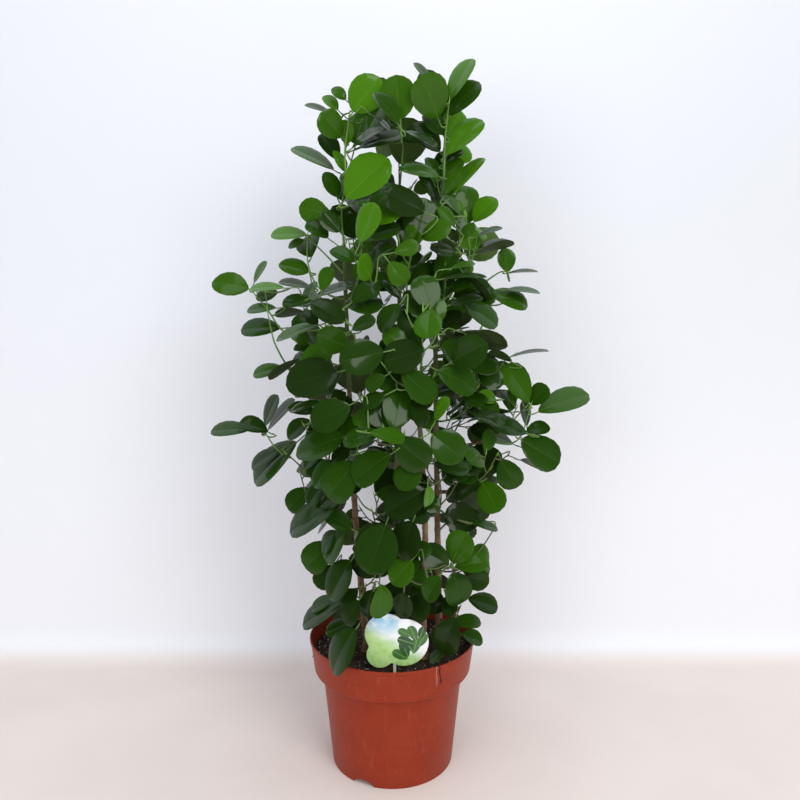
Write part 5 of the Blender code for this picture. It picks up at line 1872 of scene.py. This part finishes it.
for tone, (_, upper, midrib, under) in TONES.items():
    name = f"leaves_{tone}"
    points = bpy.data.meshes.new(name)
    points.from_pydata([leaf[1] for leaf, _ in dealt[tone]], [], [])
    turns, lengths, kinds = [], [], []
    for (_, _, along, normal, length), form in dealt[tone]:
        turns += Matrix((along, normal.cross(along), normal)).transposed().to_euler()
        lengths.append(length)
        kinds.append(form)
    points.attributes.new("turn", "FLOAT_VECTOR", "POINT").data.foreach_set("vector", turns)
    points.attributes.new("length", "FLOAT", "POINT").data.foreach_set("value", lengths)
    points.attributes.new("form", "INT", "POINT").data.foreach_set("value", kinds)
    upper_face, flow = finish(
        f"leaf_upper_{tone}", upper, 0.30, Specular_IOR_Level=0.07, Coat_Weight=0.28, Coat_Roughness=0.09
    )
    feed(upper_face, Normal=relief(flow, cloudy(flow, 130.0, 1.0), 0.0005, 0.25))
    rib_face, flow = finish(f"leaf_midrib_{tone}", midrib, 0.45, Specular_IOR_Level=0.15)
    feed(rib_face, Normal=relief(flow, cloudy(flow, 500.0, 1.0), 0.0002, 0.3))
    under_face, flow = finish(f"leaf_under_{tone}", under, 0.66, Specular_IOR_Level=0.3)
    feed(under_face, Normal=relief(flow, cloudy(flow, 420.0, 2.0), 0.0006, 0.35))
    sizes = {"Size": 1.0}
    tree, flows = new_recipe(name, sizes)
    flow = flows["Shape"]
    turn = stored(flow, "turn", "FLOAT_VECTOR")
    inputs = {
        "Points": flow,
        "Instance Index": stored(flow, "form", "INT"),
        "Rotation": flow.node("FunctionNodeEulerToRotation", inputs={0: turn}),
        "Scale": stored(flow, "length", "FLOAT") * flows["Size"],
    }
    whole = copied(flow, blades, inputs)
    part = stored(flow, "face_part", "INT")
    for number, material in enumerate((upper_face, rib_face, under_face)):
        chosen = part.math("COMPARE", float(number), SAME_FACE)
        inputs = {"Geometry": whole, "Selection": chosen, "Material": material}
        whole = flow.node("GeometryNodeSetMaterial", inputs=inputs)
    blade_holder = bpy.data.objects.new(name, points)
    scene.collection.objects.link(blade_holder)
    leaf_piece = follow_recipe(blade_holder, tree, whole, sizes)
    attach(leaf_piece, "root")
    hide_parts(*foliage)

# ---------------------------------------------------------------- buds
# Slender pointed buds, one at the tip of every twig, each wrapped in a pale green sheath.

BUD_LENGTH = (0.007, 0.012)
BUD_OUTLINE = ((0.0, 0.075), (0.22, 0.105), (0.55, 0.070), (0.85, 0.028))
BUD_SIDES = 6
BUD_SUNK = 0.0006

bud_green, flow = finish("bud_green", (0.150, 0.330, 0.045), 0.42)
feed(bud_green, Normal=relief(flow, cloudy(flow, 700.0, 1.0), 0.0002, 0.4))
bud_twigs += leading_twigs[: len(BRANCHLETS)]
tips = [(twig[-1], (twig[-1] - twig[-2]).normalized()) for twig in bud_twigs]
draw = random.Random(11)
verts, faces = [], []
for tip, ahead in tips:
    length = draw.uniform(*BUD_LENGTH)
    side = ahead.orthogonal().normalized()
    up = ahead.cross(side)
    first = len(verts)
    for along, radius in BUD_OUTLINE:
        for corner in range(BUD_SIDES):
            turn = 2 * math.pi * corner / BUD_SIDES
            off = (side * math.cos(turn) + up * math.sin(turn)) * radius * length
            verts.append(tip + ahead * (along * length - BUD_SUNK) + off)
    verts.append(tip + ahead * length)
    for ring in range(len(BUD_OUTLINE) - 1):
        for corner in range(BUD_SIDES):
            a = first + ring * BUD_SIDES + corner
            b = first + ring * BUD_SIDES + (corner + 1) % BUD_SIDES
            faces.append((a, b, b + BUD_SIDES, a + BUD_SIDES))
    last = first + (len(BUD_OUTLINE) - 1) * BUD_SIDES
    for corner in range(BUD_SIDES):
        faces.append((last + corner, last + (corner + 1) % BUD_SIDES, len(verts) - 1))
    faces.append(tuple(reversed(range(first, first + BUD_SIDES))))
buds = new_object("buds", verts, faces, bud_green)
sharpen(buds, 70)
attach(buds, "root")
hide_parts(*foliage)
